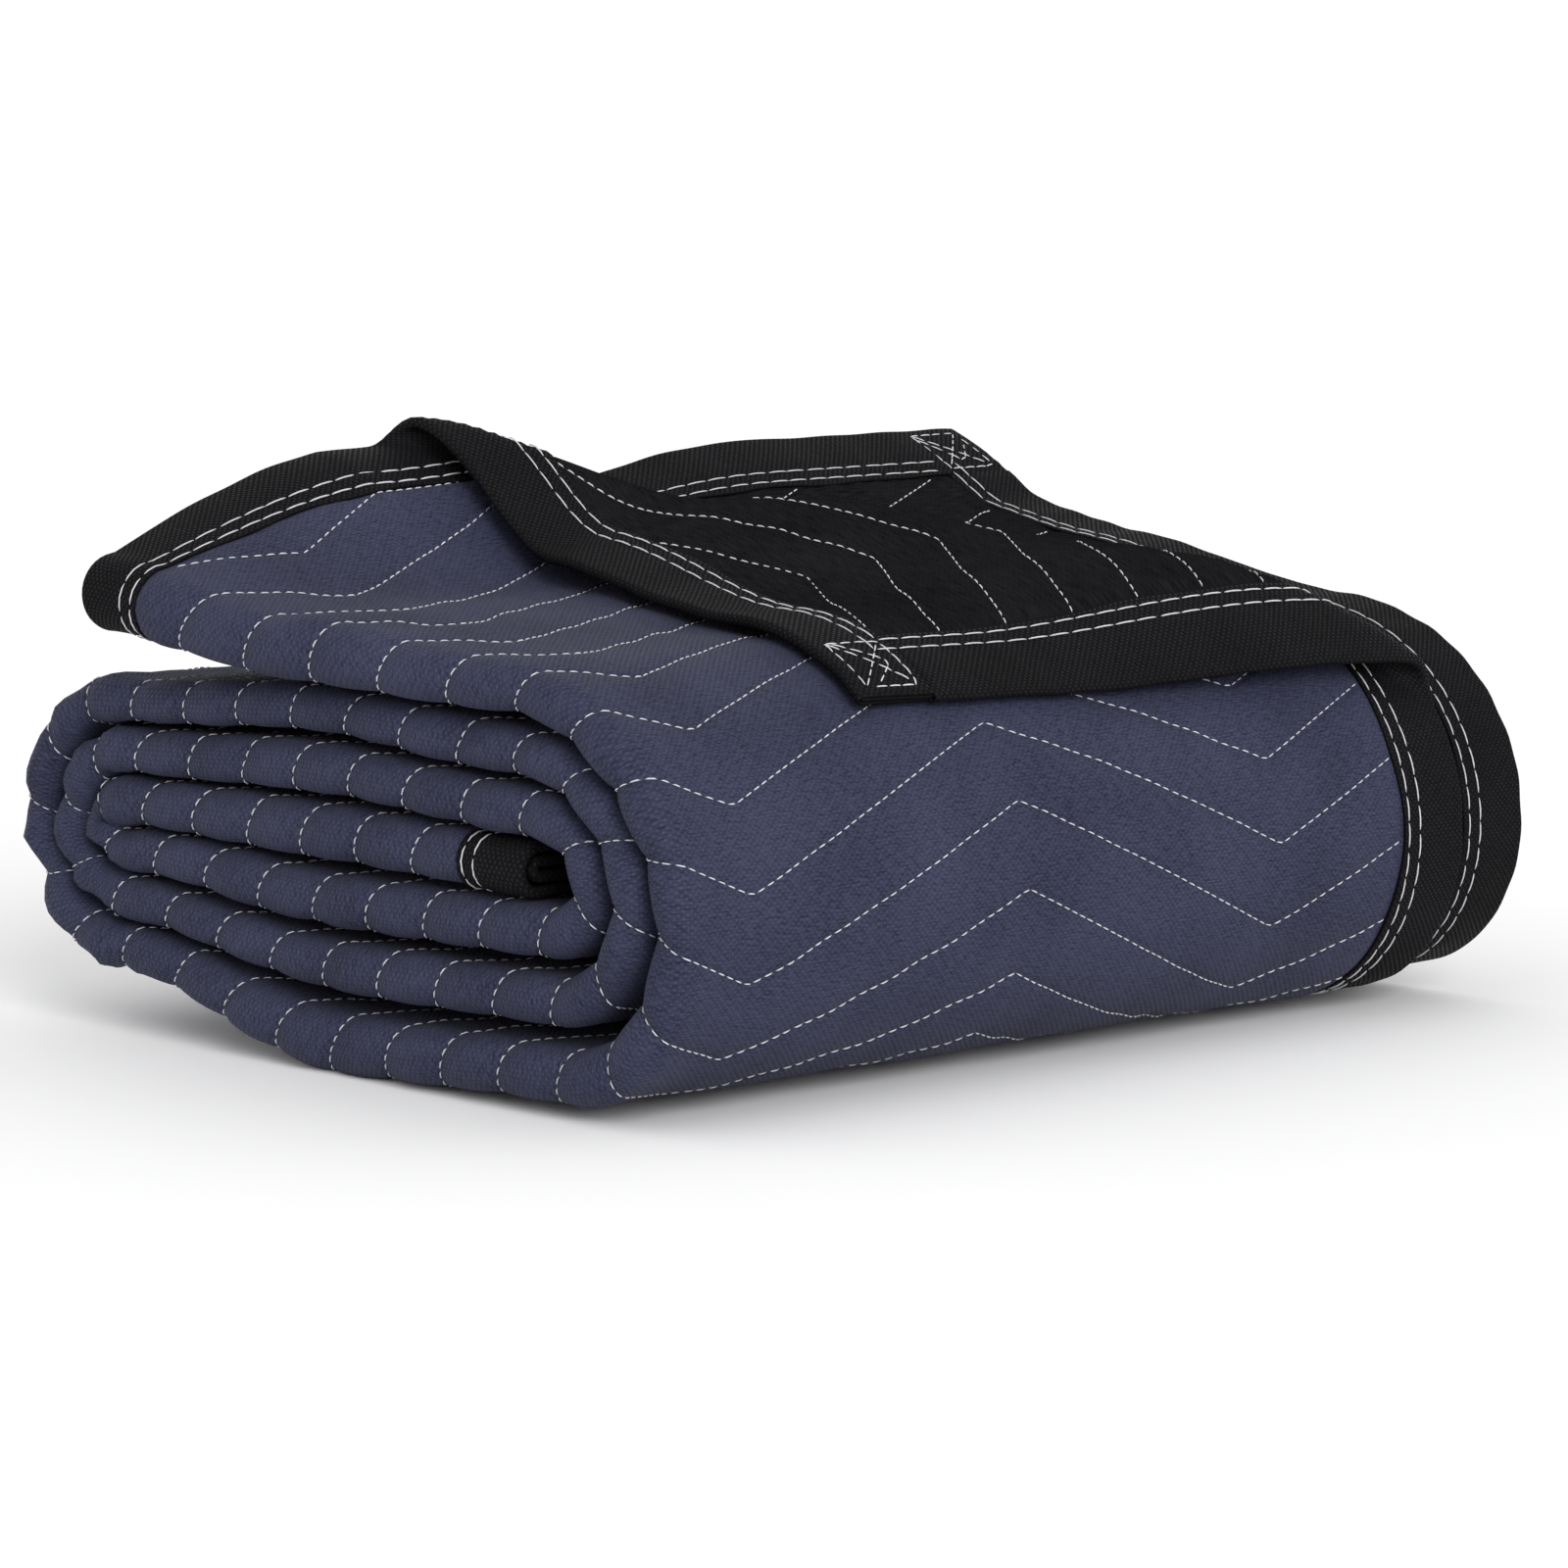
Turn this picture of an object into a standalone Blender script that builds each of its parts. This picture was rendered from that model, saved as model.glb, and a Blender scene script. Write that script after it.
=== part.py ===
"""Quilted moving blanket, folded in four lengthwise, rolled flat, one corner turned back.

Lengths are in millimetres until the meshes are made. The flat cloth has a place
across (from its outer long edge) and a place along (from its outer end).
"""
from math import pi

import bpy
import numpy as np
from mathutils import Vector
from mathutils.geometry import delaunay_2d_cdt

MM = 0.001

# The flat blanket and its sewing
BLANKET_WIDTH = 1143.0
BLANKET_LENGTH = 1828.8
BINDING_WIDTH = 24.0
QUILT_SPACING = 23.15
QUILT_PERIOD = 190.5
QUILT_SWING = 18.0
FIRST_QUILT_ROW = 29.5
FIRST_QUILT_BEND = 73.0
ROW_SLANT = 0.024
ROWS_SQUARE_FROM = 263.5
QUILTED_WRAP = 500.0

# Half thicknesses of the plies, the hem and the binding sheet round it
PLY_SHARE = 0.40
PLY_HALF_MOST = 1.5
STITCH_DIP = 0.70
PRESSED_FLAT = 9.0
HEM_HALF = 0.20
BINDING_INSIDE = 0.62
BINDING_OUTSIDE = 1.50
HEM_TO_BINDING = 0.35
BINDING_THICKNESS = 1.0
HEM_SPLIT = 0.5
EDGE_ROUNDING = 0.85

# Middle of the finished roll's box, in the measure of the tables below
ROLL_MIDDLE_X = -4.74
ROLL_MIDDLE_Y = 150.5

# The lengthwise folds: where the two long edges lie and how the front crease drifts
OUTER_LONG_EDGE = 289.0
INNER_LONG_EDGE = 318.0
FRONT_CREASE_DRIFT = -17.0
FRONT_CREASE_DRIFT_LENGTH = 220.0
USUAL_PITCH = 3.75
FIXED_ACROSS = 216.0

# The roll, from the core outward. A run is one straight level of the roll.
# name, x start, x end, height at start, middle, end, ply pitch at start, middle, end
RUNS = (
    ("core", 71, -92, 61.4, 63.0, 63.7, 3.9, 4.0, 3.4),
    ("below core", -92, 78, 50.3, 45.4, 46.4, 3.2, 4.0, 3.6),
    ("above core", 69, -96.5, 75.9, 79.6, 77.3, 3.3, 3.5, 3.2),
    ("second from floor", -96.5, 79.6, 37.0, 28.5, 29.1, 3.2, 3.5, 3.4),
    ("under the top", 66, -99.5, 91.1, 95.0, 90.9, 3.3, 3.4, 3.1),
    ("floor", -99.5, 85.5, 23.4, 8.1, 10.8, 3.2, 4.7, 4.0),
    ("top", 62, -85.5, 107.5, 112, 121.5, 3.6, 4.8, 6.1),
)
# How far each turn between two runs bulges past the run ends, and its ply pitch
TURNS = (
    ("left inner", -14.5, 3.2),
    ("right inner", 19.6, 3.3),
    ("left middle", -23.5, 3.2),
    ("right middle", 35.3, 3.25),
    ("left outer", -34, 3.2),
    ("right outer", 49.5, 3.3),
)

# The turned-back corner: its crease, its bend and how the flap comes down
CREASE_ALONG = 209.0
CREASE_ACROSS = 201.0
BEND_AT_LONG_EDGE = 5.0
BEND_AT_END = 4.2
BEND_BULGE = 4.0
FLAP_REST = 5.4
FLAP_FALL = 80.0

# The inner ply's end curls up and its far part stands a little higher
CURL_START = 42.0
CURL_RADIUS = 22.0
CURL_ANGLE = 0.38
CURL_FROM_Y = 80.0
CURL_FULL_Y = 220.0
FAR_LIFT = 12.0
FAR_LIFT_FROM_Y = 60.0
FAR_LIFT_FULL_Y = 205.0
FAR_LIFT_ENDS = 170.0
FAR_LIFT_FADE = 130.0
END_LIFT = 23.5
END_LIFT_LENGTH = 72.0
END_LIFT_FROM_Y = -8.0
END_LIFT_RISE = 68.0

# How the mesh is laid out: the hem's own row, the widest row, the sharpest turn between rows,
# and the rows that follow the corner's crease
HEM_MIDDLE = 12.5
ROW_WIDEST = 60.0
ROW_TURN = 0.42
CREASE_MARGIN = 2.0
CREASE_CLEAR = 5.0
CREASE_ROWS = 11
CREASE_ROW_POINTS = 15
CREASE_ON_HEM = (0.0, 8.0, 16.0)
SAME_POINT = 0.3
OUTER_COLUMNS = (73.0, 120.0, 168.2)
LAST_OUTER_COLUMN = 251.0

# Where the quilting fades on the solid: past the outer wrap, round the front crease, at the bend
QUILTING_STARTS = 30.0
QUILTING_START_EASE = 40.0
QUILTING_STOP_EASE = 60.0
QUILTING_CREASE_EASE = 12.0
PRESSED_EASE = 3.0
BEND_FADE = 62.0
BEND_FADE_EASE = 30.0
BEND_FADE_ACROSS = 300.0

# Where the mesh has columns in each fold and ply after the outer one
LEG_SHARES = (
    (0.0, 0.25, 0.5, 0.75),
    (0.0, 0.5),
    (0.0, 0.34, 0.67),
    (0.0, 0.5),
    (0.0, 0.34, 0.67),
    (0.0, 0.38, 0.58, 0.78),
)

NAVY = (0.042, 0.050, 0.118)
BLACK = (0.012, 0.012, 0.013)


def smooth(value):
    """Ease from 0 to 1."""
    value = np.clip(value, 0.0, 1.0)
    return value * value * (3.0 - 2.0 * value)


def ease_through(share, start, middle, end):
    """Ease from start through middle to end as share goes from 0 to 1."""
    first = start + (middle - start) * smooth(share * 2.0)
    second = middle + (end - middle) * smooth(share * 2.0 - 1.0)
    return np.where(share < 0.5, first, second)


def distance_along(x, z):
    """Distance from the start of a line to each of its points."""
    return np.concatenate([[0.0], np.cumsum(np.hypot(np.diff(x), np.diff(z)))])


def lay_path():
    """Sample the roll's middle line: place along, x, z and ply pitch, then its directions."""
    xs, zs, pitches = [], [], []
    share = np.linspace(0.0, 1.0, 400, endpoint=False)
    for number, run in enumerate(RUNS):
        name, x_start, x_end, z_start, z_mid, z_end, p_start, p_mid, p_end = run
        xs.append(x_start + (x_end - x_start) * share)
        zs.append(ease_through(share, z_start, z_mid, z_end))
        pitches.append(ease_through(share, p_start, p_mid, p_end))
        if number < len(TURNS):
            turn_name, bulge, pitch = TURNS[number]
            after = RUNS[number + 1]
            height = 0.5 * (z_end + after[3])
            reach = 0.5 * (z_end - after[3])
            xs.append(x_end + (after[1] - x_end) * share + bulge * np.sin(pi * share))
            zs.append(height + reach * np.cos(pi * share))
            pitches.append(ease_through(share, p_end, pitch, after[6]))
    x = np.concatenate(xs + [[RUNS[-1][2]]])
    z = np.concatenate(zs + [[RUNS[-1][5]]])
    pitch = np.concatenate(pitches + [[RUNS[-1][8]]])
    length = distance_along(x, z)
    even = np.linspace(0.0, length[-1], 7600)
    x = np.interp(even, length, x)
    z = np.interp(even, length, z)
    pitch = np.interp(even, length, pitch)
    along_x = np.gradient(x, even)
    along_z = np.gradient(z, even)
    kernel = np.hanning(25)
    kernel /= kernel.sum()
    along_x = np.convolve(np.pad(along_x, 12, mode="edge"), kernel, mode="valid")
    along_z = np.convolve(np.pad(along_z, 12, mode="edge"), kernel, mode="valid")
    size = np.hypot(along_x, along_z)
    along_x, along_z = along_x / size, along_z / size
    outer_ply = distance_along(x + along_z * 1.5 * pitch, z - along_x * 1.5 * pitch)
    place = outer_ply * (BLANKET_LENGTH / outer_ply[-1])
    return place, x, z, pitch, along_x, along_z


PATH = lay_path()


def on_path(from_end):
    """Middle line, outward direction and ply pitch at a place measured from the outer end."""
    place, x, z, pitch, along_x, along_z = PATH
    at = BLANKET_LENGTH - np.asarray(from_end, float)
    inside = np.clip(at, 0.0, BLANKET_LENGTH)
    dx = np.interp(inside, place, along_x)
    dz = np.interp(inside, place, along_z)
    size = np.hypot(dx, dz)
    dx, dz = dx / size, dz / size
    past = at - inside
    cx = np.interp(inside, place, x) + dx * past
    cz = np.interp(inside, place, z) + dz * past
    return cx, cz, dz, -dx, np.interp(inside, place, pitch)


def front_crease(from_end):
    """Where the front crease lies; it drifts forward towards the outer end."""
    return FRONT_CREASE_DRIFT * smooth(1.0 - np.asarray(from_end) / FRONT_CREASE_DRIFT_LENGTH)


def fold_lengths(pitch, crease):
    """Places across the flat cloth where each ply and each fold begins."""
    big, small = 1.5 * pitch, 0.5 * pitch
    start = crease + big
    outer_leg = OUTER_LONG_EDGE - start
    inner_leg = INNER_LONG_EDGE + crease - start
    bends = pi * (big + 2.0 * small)
    hidden_leg = 0.5 * (BLANKET_WIDTH - outer_leg - inner_leg - bends)
    marks = [0.0 * pitch, outer_leg, outer_leg + pi * big]
    marks.append(marks[-1] + hidden_leg)
    marks.append(marks[-1] + pi * small)
    marks.append(marks[-1] + hidden_leg)
    marks.append(marks[-1] + pi * small)
    marks.append(marks[-1] + inner_leg)
    return marks, hidden_leg


def fold_section(across, pitch, crease):
    """Place (y, outward) and face direction of the cloth's middle at a place across it."""
    marks, hidden_leg = fold_lengths(pitch, crease)
    big, small = 1.5 * pitch, 0.5 * pitch
    start = crease + big
    half_fold = start + hidden_leg
    first = (across - marks[1]) / big
    second = (across - marks[3]) / small
    third = (across - marks[5]) / small
    zero, one = 0.0 * across, 0.0 * across + 1.0
    rows = (
        (OUTER_LONG_EDGE - across, big + zero, zero, one),
        (start - big * np.sin(first), big * np.cos(first), -np.sin(first), np.cos(first)),
        (start + across - marks[2], -big + zero, zero, -one),
        (half_fold + small * np.sin(second), -pitch - small * np.cos(second),
         np.sin(second), -np.cos(second)),
        (half_fold - (across - marks[4]), -small + zero, zero, one),
        (start - small * np.sin(third), -small * np.cos(third), np.sin(third), np.cos(third)),
        (start + across - marks[6], small + zero, zero, -one),
    )
    which = np.sum([across > mark for mark in marks[1:7]], axis=0)
    return [np.choose(which, [row[column] for row in rows]) for column in range(4)]


def past_crease(along, across):
    """Distance past the turned-back corner's crease, and place on the crease from 0 to 1."""
    reach = np.hypot(CREASE_ALONG, CREASE_ACROSS)
    beyond = (CREASE_ALONG * CREASE_ACROSS - CREASE_ACROSS * along - CREASE_ALONG * across) / reach
    on_crease = ((CREASE_ALONG - along) * CREASE_ALONG + across * CREASE_ACROSS) / reach
    return beyond, on_crease / reach


def crease_bend(share):
    """Radius of the turned-back corner's bend, from the long edge (0) to the end (1)."""
    share = np.clip(share, 0.0, 1.0)
    plain = BEND_AT_LONG_EDGE + (BEND_AT_END - BEND_AT_LONG_EDGE) * share
    return plain + BEND_BULGE * 4.0 * share * (1.0 - share)


def turn_back(along, across):
    """Shift along and across, height and lean that the turned-back corner gives the cloth."""
    reach = np.hypot(CREASE_ALONG, CREASE_ACROSS)
    beyond, on_crease = past_crease(along, across)
    bend = crease_bend(on_crease)
    past = beyond + 0.5 * pi * bend
    angle = np.clip(past / bend, 0.0, pi)
    flap = np.clip(past - pi * bend, 0.0, None)
    share = np.clip(flap / FLAP_FALL, 0.0, 1.0)
    drop = 2.0 * bend - FLAP_REST
    height = bend * (1.0 - np.cos(angle)) - drop * smooth(share)
    lean = angle + np.arctan(drop * 6.0 * share * (1.0 - share) / FLAP_FALL)
    reached = bend * np.sin(angle) - flap
    shift = np.where(past > 0.0, reached - past, 0.0)
    towards = (-CREASE_ACROSS / reach, -CREASE_ALONG / reach)
    height = np.where(past > 0.0, height, 0.0)
    lean = np.where(past > 0.0, lean, 0.0)
    return along + towards[0] * shift, across + towards[1] * shift, height, lean, towards


def end_lift(along, y):
    """How much the outer ply rises off the others towards its end."""
    rise = smooth(1.0 - along / END_LIFT_LENGTH)
    share = np.clip((y - END_LIFT_FROM_Y) / END_LIFT_RISE, 0.0, 1.0)
    return END_LIFT * rise * 0.5 * (np.sin(0.5 * pi * share) + share)


def place(along, across, off):
    """Points of the folded and rolled cloth, off its middle towards its quilted face."""
    along, across, off = np.broadcast_arrays(*(np.asarray(v, float) for v in (along, across, off)))
    cx, cz, nx, nz, pitch = on_path(along)
    crease = front_crease(along)
    y, out, face_y, face_out = fold_section(across, pitch, crease)
    marks, hidden_leg = fold_lengths(pitch, crease)
    y = y + face_y * off
    out = out + face_out * off

    # The far part of the top stands higher, the inner ply's end curls up
    inner = across > marks[6]
    stretch = smooth((FAR_LIFT_ENDS - along) / FAR_LIFT_FADE)
    far = smooth((y - FAR_LIFT_FROM_Y) / (FAR_LIFT_FULL_Y - FAR_LIFT_FROM_Y))
    on_top = inner | (across < marks[1])
    out = out + np.where(on_top, FAR_LIFT * far * stretch, 0.0)
    out = out + np.where(across < marks[1], end_lift(along, y), 0.0)
    most = CURL_ANGLE * smooth((y - CURL_FROM_Y) / (CURL_FULL_Y - CURL_FROM_Y))
    past = np.clip(CURL_START - along, 0.0, None)
    angle = np.minimum(past / CURL_RADIUS, most)
    straight = past - angle * CURL_RADIUS
    moved = CURL_RADIUS * np.sin(angle) + straight * np.cos(angle) - np.sin(angle) * -off
    raised = CURL_RADIUS * (1.0 - np.cos(angle)) + straight * np.sin(angle)
    raised = raised + (np.cos(angle) - 1.0) * -off
    curled = inner & (along < CURL_START)
    new_along = np.where(curled, CURL_START - moved, along)
    out = out + np.where(curled, raised, 0.0)

    # The outer ply's corner is turned back over the top
    t, u, height, lean, towards = turn_back(along, across)
    turned = (across < 0.5 * (marks[1] + FIXED_ACROSS)) & (height > 0.0)
    t = t - towards[0] * np.sin(lean) * off
    u = u - towards[1] * np.sin(lean) * off
    new_along = np.where(turned, t, new_along)
    far_turned = smooth((OUTER_LONG_EDGE - u - FAR_LIFT_FROM_Y) / (FAR_LIFT_FULL_Y - FAR_LIFT_FROM_Y))
    pitch_there = on_path(t)[4]
    lifted = 1.5 * pitch_there + height + np.cos(lean) * off
    lifted = lifted + FAR_LIFT * far_turned * smooth((FAR_LIFT_ENDS - t) / FAR_LIFT_FADE)
    lifted = lifted + end_lift(t, OUTER_LONG_EDGE - u)
    out = np.where(turned, lifted, out)
    y = np.where(turned, OUTER_LONG_EDGE - u, y)

    cx, cz, nx, nz, pitch = on_path(new_along)
    x = cx + nx * out - ROLL_MIDDLE_X
    z = np.maximum(cz + nz * out, 0.0)
    return np.stack([x, y - ROLL_MIDDLE_Y, z], axis=-1)


def zigzag(across):
    """Swing and slant of the quilting rows, towards the outer end where positive."""
    phase = (across - FIRST_QUILT_BEND) / QUILT_PERIOD
    swing = QUILT_SWING * (2.0 * np.abs(phase - np.floor(phase + 0.5)) - 0.5)
    return swing - ROW_SLANT * np.clip(ROWS_SQUARE_FROM - across, 0.0, None)


def row_stations():
    """Places along the cloth where the mesh has a row."""
    rows = [0.0, HEM_MIDDLE, BINDING_WIDTH - HEM_SPLIT, BINDING_WIDTH]
    row = FIRST_QUILT_ROW + QUILT_SPACING * 0.5
    while row < QUILTED_WRAP:
        rows.append(row)
        row += QUILT_SPACING * 0.5
    position, x, z, pitch, along_x, along_z = PATH
    heading = np.unwrap(np.arctan2(along_z, along_x))
    last = rows[-1]
    last_heading = np.interp(BLANKET_LENGTH - last, position, heading)
    stop = BLANKET_LENGTH - BINDING_WIDTH
    for at in np.arange(last + 2.0, stop - 8.0, 0.5):
        turned = abs(np.interp(BLANKET_LENGTH - at, position, heading) - last_heading)
        if turned > ROW_TURN or at - last > ROW_WIDEST:
            rows.append(at)
            last = at
            last_heading = np.interp(BLANKET_LENGTH - at, position, heading)
    rows += [stop, stop + HEM_SPLIT, BLANKET_LENGTH - HEM_MIDDLE, BLANKET_LENGTH]
    return np.array(rows)


def column_stations():
    """Places across the usual fold where the mesh has a column."""
    marks, hidden_leg = fold_lengths(np.array(USUAL_PITCH), np.array(0.0))
    marks = [float(mark) for mark in marks]
    columns = [0.0, BINDING_WIDTH - HEM_SPLIT, BINDING_WIDTH]
    columns += list(OUTER_COLUMNS) + [FIXED_ACROSS, LAST_OUTER_COLUMN]
    inner_border = BLANKET_WIDTH - BINDING_WIDTH
    ends = marks[2:7] + [inner_border]
    for begin, end, shares in zip(marks[1:7], ends, LEG_SHARES):
        columns += [begin + (end - begin) * share for share in shares]
    columns += [inner_border, inner_border + HEM_SPLIT, BLANKET_WIDTH]
    return np.array(columns), marks


def true_across(nominal, along, marks):
    """Slide the usual columns so that they meet the folds at this place along."""
    cx, cz, nx, nz, pitch = on_path(along)
    there, hidden_leg = fold_lengths(pitch, front_crease(along))
    usual = [0.0, FIXED_ACROSS] + marks[1:7] + [BLANKET_WIDTH - BINDING_WIDTH, BLANKET_WIDTH]
    fixed = 0.0 * pitch
    real = [fixed, fixed + FIXED_ACROSS] + there[1:7]
    real += [fixed + BLANKET_WIDTH - BINDING_WIDTH, fixed + BLANKET_WIDTH]
    result = np.array(nominal, float)
    for low, high, real_low, real_high in zip(usual, usual[1:], real, real[1:]):
        share = (nominal - low) / (high - low)
        here = (nominal >= low) & (nominal <= high)
        result = np.where(here, real_low + share * (real_high - real_low), result)
    return result


def crease_points():
    """Points in rows that run along the crease, closer together round the bend."""
    points = []
    reach = np.hypot(CREASE_ALONG, CREASE_ACROSS)
    first = BINDING_WIDTH + CREASE_MARGIN
    for step in np.linspace(-0.5, 0.5, CREASE_ROWS):
        for run in np.linspace(0.0, 1.0, CREASE_ROW_POINTS):
            away = step * (pi * crease_bend(run) + CREASE_MARGIN)
            row = CREASE_ALONG * (1.0 - run) - CREASE_ACROSS / reach * away
            column = CREASE_ACROSS * run - CREASE_ALONG / reach * away
            if row > first and column > first:
                points.append((row, column))
        for fixed in CREASE_ON_HEM + (BINDING_WIDTH - HEM_SPLIT, BINDING_WIDTH):
            run = 1.0 - fixed / CREASE_ALONG
            away = step * (pi * crease_bend(run) + CREASE_MARGIN)
            points.append((fixed, CREASE_ACROSS * run - away * reach / CREASE_ALONG))
            run = fixed / CREASE_ACROSS
            away = step * (pi * crease_bend(run) + CREASE_MARGIN)
            points.append((CREASE_ALONG * (1.0 - run) - away * reach / CREASE_ACROSS, fixed))
    return points


def lay_net():
    """Points of the flat cloth and the triangles between them."""
    rows = row_stations()
    columns, marks = column_stations()
    points = []
    for row in rows:
        for column in columns:
            beyond, share = past_crease(row, column)
            near = abs(beyond) < 0.5 * pi * crease_bend(share) + CREASE_CLEAR
            inside = row > BINDING_WIDTH and BINDING_WIDTH < column <= FIXED_ACROSS
            if not (near and inside):
                points.append((row, column))
    thinned = {}
    for row, column in points + crease_points():
        cell = (round(row / SAME_POINT), round(column / SAME_POINT))
        thinned.setdefault(cell, (row, column))
    points = list(thinned.values())
    corners = [Vector(pair) for pair in points]
    result = delaunay_2d_cdt(corners, seams_between(points), [], 0, 0.001)
    flat = np.array([tuple(vertex) for vertex in result[0]])
    faces = [tuple(face) for face in result[2]]
    faces = [face if turn_of(flat, face) < 0.0 else face[::-1] for face in faces]
    return flat, faces, marks


def seams_between(points):
    """Edges along the inner borders of the four bindings, which the triangles keep to."""
    edges = []
    for axis, size in ((0, BLANKET_LENGTH), (1, BLANKET_WIDTH)):
        for line in (BINDING_WIDTH - HEM_SPLIT, BINDING_WIDTH):
            for place_of_line in (line, size - line):
                on_line = [number for number, point in enumerate(points)
                           if abs(point[axis] - place_of_line) < 0.01]
                on_line.sort(key=lambda number: points[number][1 - axis])
                edges += list(zip(on_line, on_line[1:]))
    return edges


def turn_of(flat, face):
    """Twice the signed area of a triangle of the flat cloth."""
    a, b, c = (flat[index] for index in face)
    return (b[0] - a[0]) * (c[1] - a[1]) - (b[1] - a[1]) * (c[0] - a[0])


def rim_of(faces):
    """Edges that only one face uses, in that face's direction."""
    used = set()
    for face in faces:
        for a, b in zip(face, face[1:] + face[:1]):
            used.add((a, b))
    return [edge for edge in used if edge[::-1] not in used]


def close_sheet(name, outer_points, outer_faces, inner_points, material):
    """A solid sheet between two skins that share their faces."""
    count = len(outer_points)
    faces = list(outer_faces)
    faces += [tuple(index + count for index in face[::-1]) for face in outer_faces]
    for a, b in rim_of(outer_faces):
        faces.append((b, a, a + count))
        faces.append((b, a + count, b + count))
    points = np.concatenate([outer_points, inner_points]) * MM
    mesh = bpy.data.meshes.new(name)
    mesh.from_pydata([tuple(map(float, point)) for point in points], [], faces)
    mesh.validate()
    mesh.materials.append(material)
    thing = bpy.data.objects.new(name, mesh)
    bpy.context.collection.objects.link(thing)
    return thing


def quilted_cloth(flat, faces, marks, material):
    """The whole blanket without its bindings, thinner under them and at the stitched rows."""
    along, nominal = flat[:, 0], flat[:, 1]
    across = true_across(nominal, along, marks)
    swing = smooth((along - QUILTING_STARTS) / QUILTING_START_EASE)
    swing = swing * smooth((QUILTED_WRAP + QUILTING_STARTS - along) / QUILTING_STOP_EASE)
    swing = swing * smooth((marks[2] - nominal) / QUILTING_CREASE_EASE)
    swing = swing * (1.0 - bend_zone(along, across))
    row = (along - FIRST_QUILT_ROW) / QUILT_SPACING
    on_stitch = np.cos(2.0 * pi * row) * 0.5 + 0.5
    zig = zigzag(across) * swing
    cx, height, nx, nz, pitch = on_path(along)
    half = np.minimum(PLY_SHARE * pitch, PLY_HALF_MOST)
    off_floor = smooth((height - PRESSED_FLAT) / PRESSED_EASE)
    half = half - STITCH_DIP * on_stitch * swing * off_floor
    edge = (along <= BINDING_WIDTH) | (along >= BLANKET_LENGTH - BINDING_WIDTH)
    edge = edge | (nominal <= BINDING_WIDTH) | (nominal >= BLANKET_WIDTH - BINDING_WIDTH)
    half = np.where(edge, HEM_HALF, half)
    moved = np.where(edge, along, along - zig)
    front = place(moved, across, half)
    back = place(moved, across, -half)
    return close_sheet("quilted_cloth", front, faces, back, material)


def bend_zone(along, across):
    """1 close to the turned-back corner's bend, 0 away from it."""
    beyond, on_crease = past_crease(along, across)
    return smooth((BEND_FADE - np.abs(beyond)) / BEND_FADE_EASE) * (across < BEND_FADE_ACROSS)


def binding(name, flat, faces, marks, material, inside, on_edge, outward):
    """A sheet wrapped round the hem: inside picks its points, on_edge those on the cloth's edge."""
    chosen = [face for face in faces if all(inside[index] for index in face)]
    used = sorted({index for face in chosen for index in face})
    new = {index: number for number, index in enumerate(used)}
    chosen = [tuple(new[index] for index in face) for face in chosen]
    along = flat[used, 0]
    across = true_across(flat[used, 1], along, marks)
    edge = on_edge[used]
    count = len(used)
    skins = []
    past_hem = HEM_TO_BINDING + BINDING_THICKNESS
    for level, push in ((BINDING_OUTSIDE, past_hem), (BINDING_INSIDE, HEM_TO_BINDING)):
        t = along + np.where(edge, outward[0] * push, 0.0)
        u = across + np.where(edge, outward[1] * push, 0.0)
        lay = np.where(edge, level * EDGE_ROUNDING, level)
        skins.append(np.concatenate([place(t, u, lay), place(t, u, -lay)]))
    both = chosen + [tuple(index + count for index in face[::-1]) for face in chosen]
    for a, b in rim_of(chosen):
        if edge[a] and edge[b]:
            both.append((b, a, a + count))
            both.append((b, a + count, b + count))
    return close_sheet(name, skins[0], both, skins[1], material)


def material_named(name, colour):
    """A plain rough cloth colour."""
    material = bpy.data.materials.new(name)
    material.use_nodes = True
    shader = material.node_tree.nodes["Principled BSDF"]
    shader.inputs["Base Color"].default_value = (*colour, 1.0)
    shader.inputs["Roughness"].default_value = 0.85
    return material


def build():
    """The blanket's five pieces."""
    for thing in list(bpy.data.objects):
        bpy.data.objects.remove(thing, do_unlink=True)
    navy = material_named("navy_quilted_cloth", NAVY)
    black = material_named("black_binding", BLACK)
    flat, faces, marks = lay_net()
    along, across = flat[:, 0], flat[:, 1]
    quilted_cloth(flat, faces, marks, navy)
    hem = BINDING_WIDTH - HEM_SPLIT + 0.01
    between = (along >= BINDING_WIDTH - 0.01) & (along <= BLANKET_LENGTH - BINDING_WIDTH + 0.01)
    far_across, far_along = BLANKET_WIDTH - hem, BLANKET_LENGTH - hem
    last_across, last_along = across > BLANKET_WIDTH - 0.01, along > BLANKET_LENGTH - 0.01
    pieces = (
        ("binding_long_outer", between & (across <= hem), across < 0.01, (0.0, -1.0)),
        ("binding_long_inner", between & (across >= far_across), last_across, (0.0, 1.0)),
        ("binding_end_outer", along <= hem, along < 0.01, (-1.0, 0.0)),
        ("binding_end_inner", along >= far_along, last_along, (1.0, 0.0)),
    )
    for name, inside, on_edge, outward in pieces:
        binding(name, flat, faces, marks, black, inside, on_edge, outward)


build()
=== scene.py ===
"""Quilted moving blanket, folded in four lengthwise and rolled flat, dressed for its picture.

Lengths are in millimetres until the meshes are made. The flat cloth has a place
across (from its outer long edge) and a place along (from its outer end).
"""
from math import cos, pi, radians, sin

import bpy
import numpy as np
from mathutils import Matrix, Vector
from mathutils.geometry import delaunay_2d_cdt


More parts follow.
